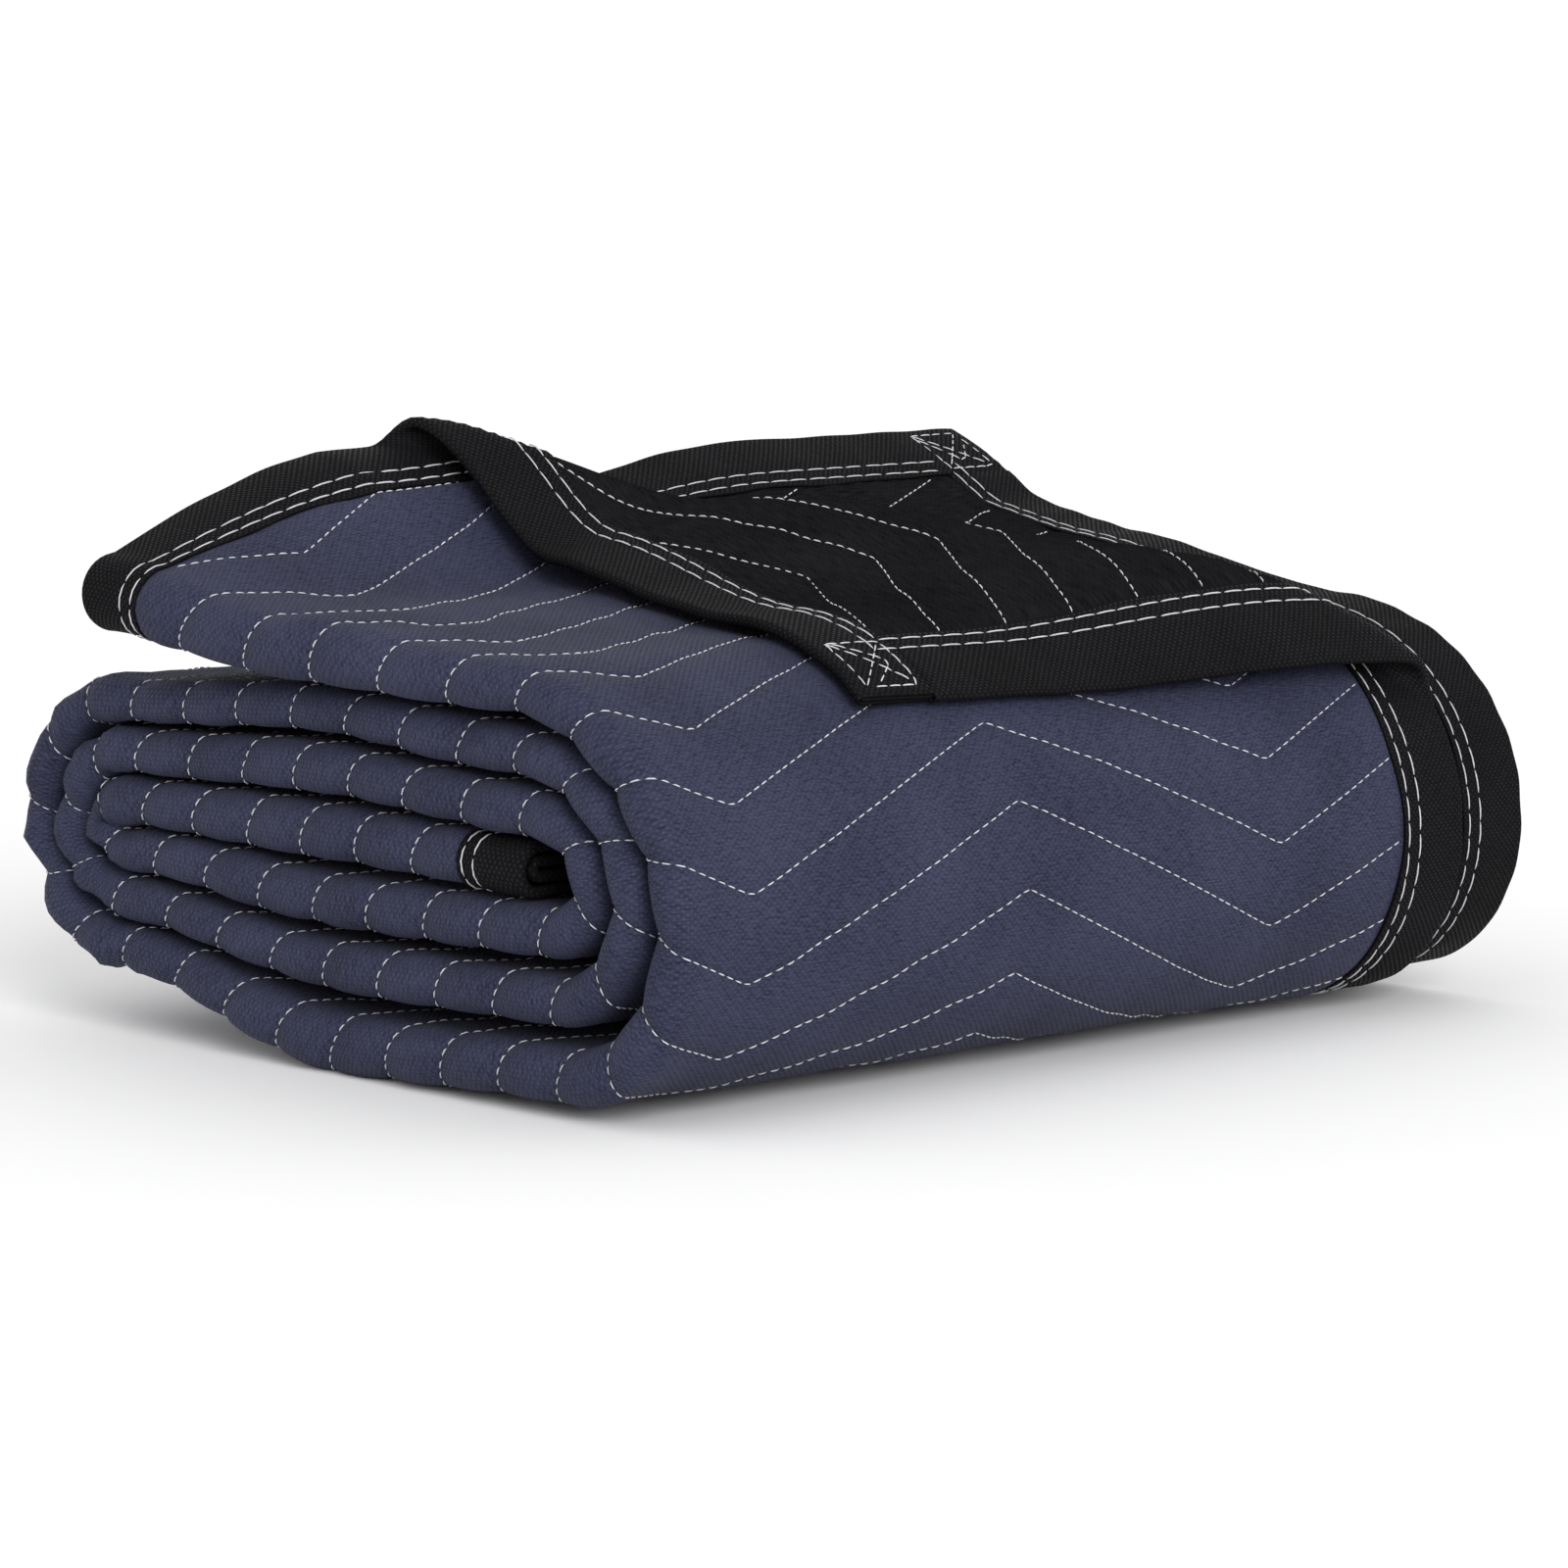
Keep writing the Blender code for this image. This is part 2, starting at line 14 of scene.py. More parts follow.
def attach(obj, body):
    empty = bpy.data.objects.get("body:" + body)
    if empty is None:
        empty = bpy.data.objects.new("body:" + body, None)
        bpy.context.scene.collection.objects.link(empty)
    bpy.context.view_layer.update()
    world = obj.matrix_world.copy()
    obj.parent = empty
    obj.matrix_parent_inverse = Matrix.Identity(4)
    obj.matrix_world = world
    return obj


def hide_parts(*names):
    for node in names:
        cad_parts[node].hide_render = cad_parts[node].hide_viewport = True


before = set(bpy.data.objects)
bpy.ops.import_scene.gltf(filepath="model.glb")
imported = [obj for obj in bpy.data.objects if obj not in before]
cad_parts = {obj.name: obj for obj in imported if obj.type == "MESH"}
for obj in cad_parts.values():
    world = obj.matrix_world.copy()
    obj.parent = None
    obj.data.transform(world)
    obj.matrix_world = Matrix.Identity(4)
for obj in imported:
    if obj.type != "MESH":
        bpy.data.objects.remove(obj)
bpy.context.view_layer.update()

MM = 0.001

# The flat blanket and its sewing
BLANKET_WIDTH = 1143.0
BLANKET_LENGTH = 1828.8
BINDING_WIDTH = 24.0
QUILT_SPACING = 23.15
QUILT_PERIOD = 190.5
QUILT_SWING = 41.15
FIRST_QUILT_ROW = 41.08
FIRST_QUILT_BEND = 73.0
ROW_SLANT = 0.024
ROWS_SQUARE_FROM = 263.5

# Quilting rows, counted from the outer end: where the outer wrap ends, where the loose side
# ends, and the last row that the mesh follows
WRAP_ROWS = 21
SEEN_ROWS = 28
LAST_ROW = 78
OUTER_WRAP = FIRST_QUILT_ROW + SEEN_ROWS * QUILT_SPACING

# Where the folds lie across the flat cloth at the usual pitch: front crease, hidden fold and
# second crease
FRONT_FROM = 262.0
FRONT_TO = 331.0
HIDDEN_FROM = 552.0
HIDDEN_TO = 572.0
SECOND_FROM = 806.0
SECOND_TO = 846.0

# Half thicknesses: a ply between stitches, at a stitch, and in the hem. PUFF_SHAPE is the power
# of the swell between two rows: less than 1 pinches it sharply at the rows.
PLY_SHARE = 0.40
PLY_HALF_MOST = 1.5
STITCH_SHARE = 0.52
PUFF_SHAPE = 0.6
HEM_HALF = 0.5
HEM_EASE = 3.0

# How far the ply is drawn off its middle, and how long those waves are: gathers, which reach a
# little way from each row, slow waves, scallops and wander of the front crease, and crumpled
# turns. HEM_CLEAR is the distance over which they fade at the hem.
GATHER = 0.34
GATHER_WAVE = 13.0
GATHER_REACH = 5.0
SLOW_WAVE = 0.35
SLOW_WAVE_LENGTH = 70.0
SCALLOP = 2.1
SCALLOP_MIDDLE = 0.55
WANDER = 0.8
WANDER_WAVE = 80.0
CRUMPLE = 1.1
CRUMPLE_WAVE = 26.0
HEM_CLEAR = 10.0

# Where the roll's turns begin, out from its middle, and the dip beside the front crease: its
# depth, its distance from the crease, its half width and where it ends along the cloth
TURN_FROM_X = 84.0
CREASE_DIP = 0.9
DIP_INSET = 15.0
DIP_HALF = 8.0
DIP_UNTIL = 420.0

# The binding tape: how far its two skins stand off the middle of the hem, its waves, the
# wander of its border, how its sewing draws it in, and the places of its points across it
TAPE_OUTSIDE = 1.55
TAPE_INSIDE = 0.85
TAPE_PAST_EDGE = 1.3
TAPE_WAVE = 0.30
TAPE_WAVE_LENGTH = 17.0
BORDER_WANDER = 0.7
BORDER_WAVE = 26.0
SEWN_DIP = 0.25
SEWN_HALF = 1.6
TAPE_INSETS = (24.0, 23.0, 21.7, 19.5, 17.2, 14.5, 11.5, 8.5, 5.5, 3.0, 1.2)

# Middle of the finished roll's box, in the measure of the tables below
ROLL_MIDDLE_X = -4.74
ROLL_MIDDLE_Y = 150.5

# The lengthwise folds: where the two long edges lie and how the front crease drifts
OUTER_LONG_EDGE = 289.0
INNER_LONG_EDGE = 318.0
FRONT_CREASE_DRIFT = -17.0
FRONT_CREASE_DRIFT_LENGTH = 220.0
USUAL_PITCH = 3.75
FIXED_ACROSS = 216.0

# The roll, from the core outward. A run is one straight level of the roll.
# name, x start, x end, height at start, middle, end, ply pitch at start, middle, end
RUNS = (
    ("core", 71, -92, 61.4, 63.0, 63.7, 3.9, 4.0, 3.4),
    ("below core", -92, 78, 50.3, 45.4, 46.4, 3.2, 4.0, 3.6),
    ("above core", 69, -96.5, 75.9, 79.6, 77.3, 3.3, 3.5, 3.2),
    ("second from floor", -96.5, 79.6, 37.0, 28.5, 29.1, 3.2, 3.5, 3.4),
    ("under the top", 66, -99.5, 91.1, 95.0, 90.9, 3.3, 3.4, 3.1),
    ("floor", -99.5, 85.5, 23.4, 8.1, 10.8, 3.2, 4.7, 4.0),
    ("top", 62, -85.5, 107.5, 112, 121.5, 3.6, 4.8, 6.1),
)
# How far each turn between two runs bulges past the run ends, and its ply pitch
TURNS = (
    ("left inner", -14.5, 3.2),
    ("right inner", 19.6, 3.3),
    ("left middle", -23.5, 3.2),
    ("right middle", 35.3, 3.25),
    ("left outer", -34, 3.2),
    ("right outer", 49.5, 3.3),
)

# The turned-back corner: its crease, its bend and how the flap comes down
CREASE_ALONG = 209.0
CREASE_ACROSS = 201.0
BEND_AT_LONG_EDGE = 5.0
BEND_AT_END = 4.2
BEND_BULGE = 4.0
FLAP_REST = 5.4
FLAP_FALL = 80.0

# The inner ply's end curls up and its far part stands a little higher
CURL_START = 42.0
CURL_RADIUS = 22.0
CURL_ANGLE = 0.38
CURL_FROM_Y = 80.0
CURL_FULL_Y = 220.0
FAR_LIFT = 12.0
FAR_LIFT_FROM_Y = 60.0
FAR_LIFT_FULL_Y = 205.0
FAR_LIFT_ENDS = 170.0
FAR_LIFT_FADE = 130.0
END_LIFT = 23.5
END_LIFT_LENGTH = 72.0
END_LIFT_FROM_Y = -8.0
END_LIFT_RISE = 68.0

# How close together the points of the cloth lie. The mesh has a row of points on each
# quilting row, and steps between them.
# name, from quilting row, to row, steps between rows, across from, across to, spacing across
ZONES = (
    ("outer ply, outer wrap", 0, WRAP_ROWS, 8, 0.0, FRONT_FROM, 4.0),
    ("front crease, outer wrap", 0, WRAP_ROWS, 8, FRONT_FROM, FRONT_TO, 1.8),
    ("hidden plies, outer wrap", 0, WRAP_ROWS, 3, FRONT_TO, HIDDEN_FROM, 20.0),
    ("hidden fold, outer wrap", 0, WRAP_ROWS, 3, HIDDEN_FROM, HIDDEN_TO, 1.8),
    ("third ply, outer wrap", 0, WRAP_ROWS, 3, HIDDEN_TO, SECOND_FROM, 20.0),
    ("second crease, outer wrap", 0, WRAP_ROWS, 4, SECOND_FROM, SECOND_TO, 1.8),
    ("inner ply, outer wrap", 0, WRAP_ROWS, 4, SECOND_TO, BLANKET_WIDTH, 6.3),
    ("outer ply, loose side", WRAP_ROWS, SEEN_ROWS, 6, 0.0, FRONT_FROM, 5.2),
    ("outer ply, inner wraps", SEEN_ROWS, LAST_ROW, 3, 0.0, FRONT_FROM, 24.0),
    ("front crease, inner wraps", WRAP_ROWS, LAST_ROW, 6, FRONT_FROM, FRONT_TO, 3.3),
    ("hidden plies, inner wraps", WRAP_ROWS, LAST_ROW, 3, FRONT_TO, HIDDEN_FROM, 24.0),
    ("hidden fold, inner wraps", WRAP_ROWS, LAST_ROW, 3, HIDDEN_FROM, HIDDEN_TO, 2.2),
    ("third ply, inner wraps", WRAP_ROWS, LAST_ROW, 3, HIDDEN_TO, SECOND_FROM, 24.0),
    ("second crease, inner wraps", WRAP_ROWS, LAST_ROW, 3, SECOND_FROM, SECOND_TO, 2.6),
    ("inner ply, inner wraps", WRAP_ROWS, LAST_ROW, 3, SECOND_TO, BLANKET_WIDTH, 22.0),
)
EDGE_SPACING = 2.8

# Across the cloth the mesh's rows lose the zigzag between the first two of these places, and
# take it up again between the last two
ROWS_STRAIGHT = (FRONT_TO, 400.0, 760.0, SECOND_TO)

# The tapes' steps, across from, across to, spacing
TAPE_ZONES = (
    (0.0, FRONT_FROM, 2.6),
    (FRONT_FROM, FRONT_TO, 1.5),
    (FRONT_TO, HIDDEN_FROM, 8.0),
    (HIDDEN_FROM, HIDDEN_TO, 1.0),
    (HIDDEN_TO, SECOND_FROM, 8.0),
    (SECOND_FROM, SECOND_TO, 1.0),
    (SECOND_TO, BLANKET_WIDTH, 3.0),
)
TAPE_STEP_OUTER_WRAP = 2.6
TAPE_STEP_INNER_WRAPS = 5.0

# Sewing thread
THREAD_RADIUS = 0.21
THREAD_LIFT = 0.06
THREAD_ARCH = 0.20
THREAD_IN_TAPE = 0.12
THREAD_END_TAPER = 0.5
QUILT_STITCH = 3.4
QUILT_STITCH_SHOWS = 2.6
SHORTEST_ROW = 8
STITCH_SPREAD = 0.06
GRAIN_LENGTH = 0.56
TAPE_STITCH = 7.6
TAPE_STITCH_SHOWS = 6.6
BOX_STITCH = 4.6
BOX_STITCH_SHOWS = 3.9
TAPE_ROWS = (17.2, 21.7)
CORNER_BOX_NEAR = 3.0
CORNER_BOX_FAR = 21.0

# Where the quilting shows: side, first row, row past the last, across from, across to
FACE_QUILTING = (
    (1.0, -1, SEEN_ROWS + 1, 24.5, FRONT_TO),
    (1.0, SEEN_ROWS + 1, LAST_ROW + 2, 266.0, 322.0),
)
BACK_QUILTING = (
    (-1.0, -1, 10, 24.5, 200.0),
    (-1.0, -1, 14, 850.0, 1118.0),
)

# The felts' surface: pitch of the bonded dots, height of the fibres' streaks and depth of the
# drawn-in groove at a quilting row, in millimetres, and the groove's half width in row spacings
DOT_PITCH = 0.95
FIBRE_RELIEF = 0.34
GROOVE_DEPTH = 0.45
GROOVE_HALF = 0.11
# The dye's patches for each metre, how much they count against the fibres, and the levels of
# both together at which the shade is fully dark and fully light
PATCHES = 28.0
PATCH_WEIGHT = 0.35
SHADE_DARK = 0.45
SHADE_LIGHT = 0.88
# Levels of the dots' waves between which a dot rises, and the thread's mottling for each metre
DOT_RIM = 0.25
DOT_FLOOR = 0.75
THREAD_MOTTLING = 900.0

# Studio light: how bright the white surroundings shine and look, the floor's shade and size, and
# the point that the lamps are turned to
SKY_LIGHT = 0.82
SKY_SEEN = 1.05
FLOOR_SHADE = (0.97, 0.97, 0.97, 1.0)
FLOOR_SIZE = 12.0
LAMP_TARGET = Vector((0.0, 0.0, 0.06))
# name, where it shines from, width of its light in degrees, strength
LAMPS = (
    ("key", (1.35, -0.55, 0.70), 32.0, 2.0),
    ("fill", (-0.6, -1.3, 0.3), 60.0, 0.3),
)

# The camera, fitted to the photograph: the model's point at a place in the picture
PICTURE_WIDTH = 1600.0
CAMERA_HEADING = 47.0
CAMERA_HEIGHT = 7.0
CAMERA_LENS = 135.0
CAMERA_SENSOR = 36.0
CAMERA_DISTANCE = 1.441
ANCHOR = Vector((0.11534, -0.1505, 0.0094))
ANCHOR_IN_PICTURE = (640.0, 1120.0)


def smooth(value):
    """Ease from 0 to 1."""
    value = np.clip(value, 0.0, 1.0)
    return value * value * (3.0 - 2.0 * value)


def ease_through(share, start, middle, end):
    """Ease from start through middle to end as share goes from 0 to 1."""
    first = start + (middle - start) * smooth(share * 2.0)
    second = middle + (end - middle) * smooth(share * 2.0 - 1.0)
    return np.where(share < 0.5, first, second)


def distance_along(x, z):
    """Distance from the start of a line to each of its points."""
    return np.concatenate([[0.0], np.cumsum(np.hypot(np.diff(x), np.diff(z)))])


def lay_path():
    """Sample the roll's middle line: place along, x, z and ply pitch, then its directions."""
    xs, zs, pitches = [], [], []
    share = np.linspace(0.0, 1.0, 400, endpoint=False)
    for number, run in enumerate(RUNS):
        name, x_start, x_end, z_start, z_mid, z_end, p_start, p_mid, p_end = run
        xs.append(x_start + (x_end - x_start) * share)
        zs.append(ease_through(share, z_start, z_mid, z_end))
        pitches.append(ease_through(share, p_start, p_mid, p_end))
        if number < len(TURNS):
            turn_name, bulge, pitch = TURNS[number]
            after = RUNS[number + 1]
            height = 0.5 * (z_end + after[3])
            reach = 0.5 * (z_end - after[3])
            xs.append(x_end + (after[1] - x_end) * share + bulge * np.sin(pi * share))
            zs.append(height + reach * np.cos(pi * share))
            pitches.append(ease_through(share, p_end, pitch, after[6]))
    x = np.concatenate(xs + [[RUNS[-1][2]]])
    z = np.concatenate(zs + [[RUNS[-1][5]]])
    pitch = np.concatenate(pitches + [[RUNS[-1][8]]])
    length = distance_along(x, z)
    even = np.linspace(0.0, length[-1], 7600)
    x = np.interp(even, length, x)
    z = np.interp(even, length, z)
    pitch = np.interp(even, length, pitch)
    along_x = np.gradient(x, even)
    along_z = np.gradient(z, even)
    kernel = np.hanning(25)
    kernel /= kernel.sum()
    along_x = np.convolve(np.pad(along_x, 12, mode="edge"), kernel, mode="valid")
    along_z = np.convolve(np.pad(along_z, 12, mode="edge"), kernel, mode="valid")
    size = np.hypot(along_x, along_z)
    along_x, along_z = along_x / size, along_z / size
    outer_ply = distance_along(x + along_z * 1.5 * pitch, z - along_x * 1.5 * pitch)
    place_on_path = outer_ply * (BLANKET_LENGTH / outer_ply[-1])
    return place_on_path, x, z, pitch, along_x, along_z


PATH = lay_path()


def on_path(from_end):
    """Middle line, outward direction and ply pitch at a place measured from the outer end."""
    place_on_path, x, z, pitch, along_x, along_z = PATH
    at = BLANKET_LENGTH - np.asarray(from_end, float)
    inside = np.clip(at, 0.0, BLANKET_LENGTH)
    dx = np.interp(inside, place_on_path, along_x)
    dz = np.interp(inside, place_on_path, along_z)
    size = np.hypot(dx, dz)
    dx, dz = dx / size, dz / size
    past = at - inside
    cx = np.interp(inside, place_on_path, x) + dx * past
    cz = np.interp(inside, place_on_path, z) + dz * past
    return cx, cz, dz, -dx, np.interp(inside, place_on_path, pitch)


def front_crease(from_end):
    """Where the front crease lies; it drifts forward towards the outer end."""
    return FRONT_CREASE_DRIFT * smooth(1.0 - np.asarray(from_end) / FRONT_CREASE_DRIFT_LENGTH)


def fold_lengths(pitch, crease):
    """Places across the flat cloth where each ply and each fold begins."""
    big, small = 1.5 * pitch, 0.5 * pitch
    start = crease + big
    outer_leg = OUTER_LONG_EDGE - start
    inner_leg = INNER_LONG_EDGE + crease - start
    bends = pi * (big + 2.0 * small)
    hidden_leg = 0.5 * (BLANKET_WIDTH - outer_leg - inner_leg - bends)
    marks = [0.0 * pitch, outer_leg, outer_leg + pi * big]
    marks.append(marks[-1] + hidden_leg)
    marks.append(marks[-1] + pi * small)
    marks.append(marks[-1] + hidden_leg)
    marks.append(marks[-1] + pi * small)
    marks.append(marks[-1] + inner_leg)
    return marks, hidden_leg


def fold_section(across, pitch, crease):
    """Place (y, outward) and face direction of the cloth's middle at a place across it."""
    marks, hidden_leg = fold_lengths(pitch, crease)
    big, small = 1.5 * pitch, 0.5 * pitch
    start = crease + big
    half_fold = start + hidden_leg
    first = (across - marks[1]) / big
    second = (across - marks[3]) / small
    third = (across - marks[5]) / small
    zero, one = 0.0 * across, 0.0 * across + 1.0
    rows = (
        (OUTER_LONG_EDGE - across, big + zero, zero, one),
        (start - big * np.sin(first), big * np.cos(first), -np.sin(first), np.cos(first)),
        (start + across - marks[2], -big + zero, zero, -one),
        (half_fold + small * np.sin(second), -pitch - small * np.cos(second),
         np.sin(second), -np.cos(second)),
        (half_fold - (across - marks[4]), -small + zero, zero, one),
        (start - small * np.sin(third), -small * np.cos(third), np.sin(third), np.cos(third)),
        (start + across - marks[6], small + zero, zero, -one),
    )
    which = np.sum([across > mark for mark in marks[1:7]], axis=0)
    return [np.choose(which, [row[column] for row in rows]) for column in range(4)]


def beyond_crease(along, across):
    """Distance past the turned-back corner's crease, towards the corner."""
    reach = np.hypot(CREASE_ALONG, CREASE_ACROSS)
    return (CREASE_ALONG * CREASE_ACROSS - CREASE_ACROSS * along - CREASE_ALONG * across) / reach


def crease_bend(share):
    """Radius of the turned-back corner's bend, from the long edge (0) to the end (1)."""
    share = np.clip(share, 0.0, 1.0)
    plain = BEND_AT_LONG_EDGE + (BEND_AT_END - BEND_AT_LONG_EDGE) * share
    return plain + BEND_BULGE * 4.0 * share * (1.0 - share)


def turn_back(along, across):
    """Shift along and across, height and lean that the turned-back corner gives the cloth."""
    reach = np.hypot(CREASE_ALONG, CREASE_ACROSS)
    on_crease = ((CREASE_ALONG - along) * CREASE_ALONG + across * CREASE_ACROSS) / reach
    bend = crease_bend(on_crease / reach)
    past = beyond_crease(along, across) + 0.5 * pi * bend
    angle = np.clip(past / bend, 0.0, pi)
    flap = np.clip(past - pi * bend, 0.0, None)
    share = np.clip(flap / FLAP_FALL, 0.0, 1.0)
    drop = 2.0 * bend - FLAP_REST
    height = bend * (1.0 - np.cos(angle)) - drop * smooth(share)
    lean = angle + np.arctan(drop * 6.0 * share * (1.0 - share) / FLAP_FALL)
    reached = bend * np.sin(angle) - flap
    shift = np.where(past > 0.0, reached - past, 0.0)
    towards = (-CREASE_ACROSS / reach, -CREASE_ALONG / reach)
    height = np.where(past > 0.0, height, 0.0)
    lean = np.where(past > 0.0, lean, 0.0)
    return along + towards[0] * shift, across + towards[1] * shift, height, lean, towards


def end_lift(along, y):
    """How much the outer ply rises off the others towards its end."""
    rise = smooth(1.0 - along / END_LIFT_LENGTH)
    share = np.clip((y - END_LIFT_FROM_Y) / END_LIFT_RISE, 0.0, 1.0)
    return END_LIFT * rise * 0.5 * (np.sin(0.5 * pi * share) + share)


def place(along, across, off):
    """Points of the folded and rolled cloth, off its middle towards its navy face."""
    along, across, off = np.broadcast_arrays(*(np.asarray(v, float) for v in (along, across, off)))
    pitch = on_path(along)[4]
    crease = front_crease(along)
    y, out, face_y, face_out = fold_section(across, pitch, crease)
    marks, hidden_leg = fold_lengths(pitch, crease)
    y = y + face_y * off
    out = out + face_out * off

    # The far part of the top stands higher, the inner ply's end curls up
    inner = across > marks[6]
    stretch = smooth((FAR_LIFT_ENDS - along) / FAR_LIFT_FADE)
    far = smooth((y - FAR_LIFT_FROM_Y) / (FAR_LIFT_FULL_Y - FAR_LIFT_FROM_Y))
    on_top = inner | (across < marks[1])
    out = out + np.where(on_top, FAR_LIFT * far * stretch, 0.0)
    out = out + np.where(across < marks[1], end_lift(along, y), 0.0)
    most = CURL_ANGLE * smooth((y - CURL_FROM_Y) / (CURL_FULL_Y - CURL_FROM_Y))
    past = np.clip(CURL_START - along, 0.0, None)
    angle = np.minimum(past / CURL_RADIUS, most)
    straight = past - angle * CURL_RADIUS
    moved = CURL_RADIUS * np.sin(angle) + straight * np.cos(angle) - np.sin(angle) * -off
    raised = CURL_RADIUS * (1.0 - np.cos(angle)) + straight * np.sin(angle)
    raised = raised + (np.cos(angle) - 1.0) * -off
    curled = inner & (along < CURL_START)
    new_along = np.where(curled, CURL_START - moved, along)
    out = out + np.where(curled, raised, 0.0)

    # The outer ply's corner is turned back over the top
    t, u, height, lean, towards = turn_back(along, across)
    turned = (across < 0.5 * (marks[1] + FIXED_ACROSS)) & (height > 0.0)
    t = t - towards[0] * np.sin(lean) * off
    u = u - towards[1] * np.sin(lean) * off
    new_along = np.where(turned, t, new_along)
    turned_y = OUTER_LONG_EDGE - u
    far_turned = smooth((turned_y - FAR_LIFT_FROM_Y) / (FAR_LIFT_FULL_Y - FAR_LIFT_FROM_Y))
    lifted = 1.5 * on_path(t)[4] + height + np.cos(lean) * off
    lifted = lifted + FAR_LIFT * far_turned * smooth((FAR_LIFT_ENDS - t) / FAR_LIFT_FADE)
    lifted = lifted + end_lift(t, turned_y)
    out = np.where(turned, lifted, out)
    y = np.where(turned, turned_y, y)

    cx, cz, nx, nz, pitch = on_path(new_along)
    x = cx + nx * out - ROLL_MIDDLE_X
    z = np.maximum(cz + nz * out, 0.0)
    return np.stack([x, y - ROLL_MIDDLE_Y, z], axis=-1)


def zigzag(across):
    """Swing and slant of the quilting rows, towards the outer end where positive."""
    phase = (across - FIRST_QUILT_BEND) / QUILT_PERIOD
    swing = QUILT_SWING * (2.0 * np.abs(phase - np.floor(phase + 0.5)) - 0.5)
    return swing - ROW_SLANT * np.clip(ROWS_SQUARE_FROM - across, 0.0, None)


def row_swing(along, across):
    """How fully the mesh's rows follow the quilting's zigzag: not at the ends or in hidden plies."""
    from_ends = np.minimum(along, BLANKET_LENGTH - along)
    first, second, third, fourth = ROWS_STRAIGHT
    shown = smooth((second - across) / (second - first)) + smooth((across - third) / (fourth - third))
    return np.clip(from_ends / FIRST_QUILT_ROW, 0.0, 1.0) * shown


def quilt_row(along, across):
    """Number of the quilting row at a place, with a fraction between rows."""
    return (along + zigzag(across) - FIRST_QUILT_ROW) / QUILT_SPACING


def ripple(a, b, wave, seed):
    """Soft uneven waves, mostly from -1 to 1, over two flat directions."""
    chance = np.random.default_rng(seed)
    total = np.zeros(np.broadcast(a, b).shape)
    for step in range(5):
        heading = chance.uniform(0.0, pi)
        length = wave * chance.uniform(0.7, 1.5)
        turn = chance.uniform(0.0, 2.0 * pi)
        total = total + np.sin(2.0 * pi * (a * cos(heading) + b * sin(heading)) / length + turn)
    return total / 3.2


def ply_half(along, across):
    """Half thickness of the quilted cloth: full between stitches, thin at them and in the hem."""
    pitch = on_path(along)[4]
    full = np.minimum(PLY_SHARE * pitch, PLY_HALF_MOST)
    row = quilt_row(along, across)
    between = np.abs(np.sin(pi * row)) ** PUFF_SHAPE
    full = full * (STITCH_SHARE + (1.0 - STITCH_SHARE) * between)
    from_ends = np.minimum(along, BLANKET_LENGTH - along)
    from_sides = np.minimum(across, BLANKET_WIDTH - across)
    inside = smooth((np.minimum(from_ends, from_sides) - BINDING_WIDTH + 1.0) / HEM_EASE)
    return HEM_HALF + (full - HEM_HALF) * inside


def puckers(along, across):
    """Shift of the whole ply off its middle: gathers at stitches, scallops and crumples."""
    row = quilt_row(along, across)
    near = np.exp(-(np.sin(pi * row) * QUILT_SPACING / pi / GATHER_REACH) ** 2)
    from_ends = np.minimum(along, BLANKET_LENGTH - along)
    inside = smooth((np.minimum(from_ends, across) - BINDING_WIDTH) / HEM_CLEAR)
    gather = ripple(along * 0.35, across, GATHER_WAVE, 4) * (0.25 + 0.75 * near)
    shift = GATHER * gather * inside + SLOW_WAVE * ripple(along, across, SLOW_WAVE_LENGTH, 9)

    # The front crease swells between the rows and is pinched at each of them
    cx, cz, nx, nz, pitch = on_path(along)
    marks, hidden_leg = fold_lengths(pitch, front_crease(along))
    round_bend = (across - marks[1]) / (marks[2] - marks[1])
    on_bend = smooth(1.0 - np.abs(2.0 * round_bend - 1.0)) * inside
    scallop = np.abs(np.sin(pi * row)) ** PUFF_SHAPE - SCALLOP_MIDDLE
    wander = ripple(along, 0.0 * across, WANDER_WAVE, 12)
    shift = shift + on_bend * (SCALLOP * scallop + WANDER * wander)

    # The turns on the loose side are crumpled, and a dip runs beside the crease on the round side
    near_front = smooth((across - marks[1] + 45.0) / 25.0) * smooth((marks[2] + 30.0 - across) / 20.0)
    left = smooth((-cx - TURN_FROM_X) / 18.0) * near_front * inside
    ridges = 1.0 - 2.0 * np.abs(ripple(along, across * 0.55, CRUMPLE_WAVE, 17))
    shift = shift + CRUMPLE * left * ridges
    right = smooth((cx - TURN_FROM_X) / 20.0) * smooth((DIP_UNTIL - along) / 40.0) * inside
    beside = np.exp(-((across - marks[1] + DIP_INSET) / DIP_HALF) ** 2)
    return shift - CREASE_DIP * right * beside


def true_across(nominal, along, marks):
    """Slide the usual columns so that they meet the folds at this place along."""
    there, hidden_leg = fold_lengths(on_path(along)[4], front_crease(along))
    usual = [0.0, FIXED_ACROSS] + marks[1:7] + [BLANKET_WIDTH - BINDING_WIDTH, BLANKET_WIDTH]
    fixed = 0.0 * along
    real = [fixed, fixed + FIXED_ACROSS] + there[1:7]
    real += [fixed + BLANKET_WIDTH - BINDING_WIDTH, fixed + BLANKET_WIDTH]
    result = np.array(nominal, float)
    for low, high, real_low, real_high in zip(usual, usual[1:], real, real[1:]):
        share = (nominal - low) / (high - low)
        here = (nominal >= low) & (nominal <= high)
        result = np.where(here, real_low + share * (real_high - real_low), result)
    return result


def even_steps(start, stop, spacing, last):
    """Evenly spaced places from start up to stop, which itself counts only where last is true."""
    count = max(1, round((stop - start) / spacing))
    steps = np.linspace(start, stop, count + 1)
    return steps if last else steps[:-1]


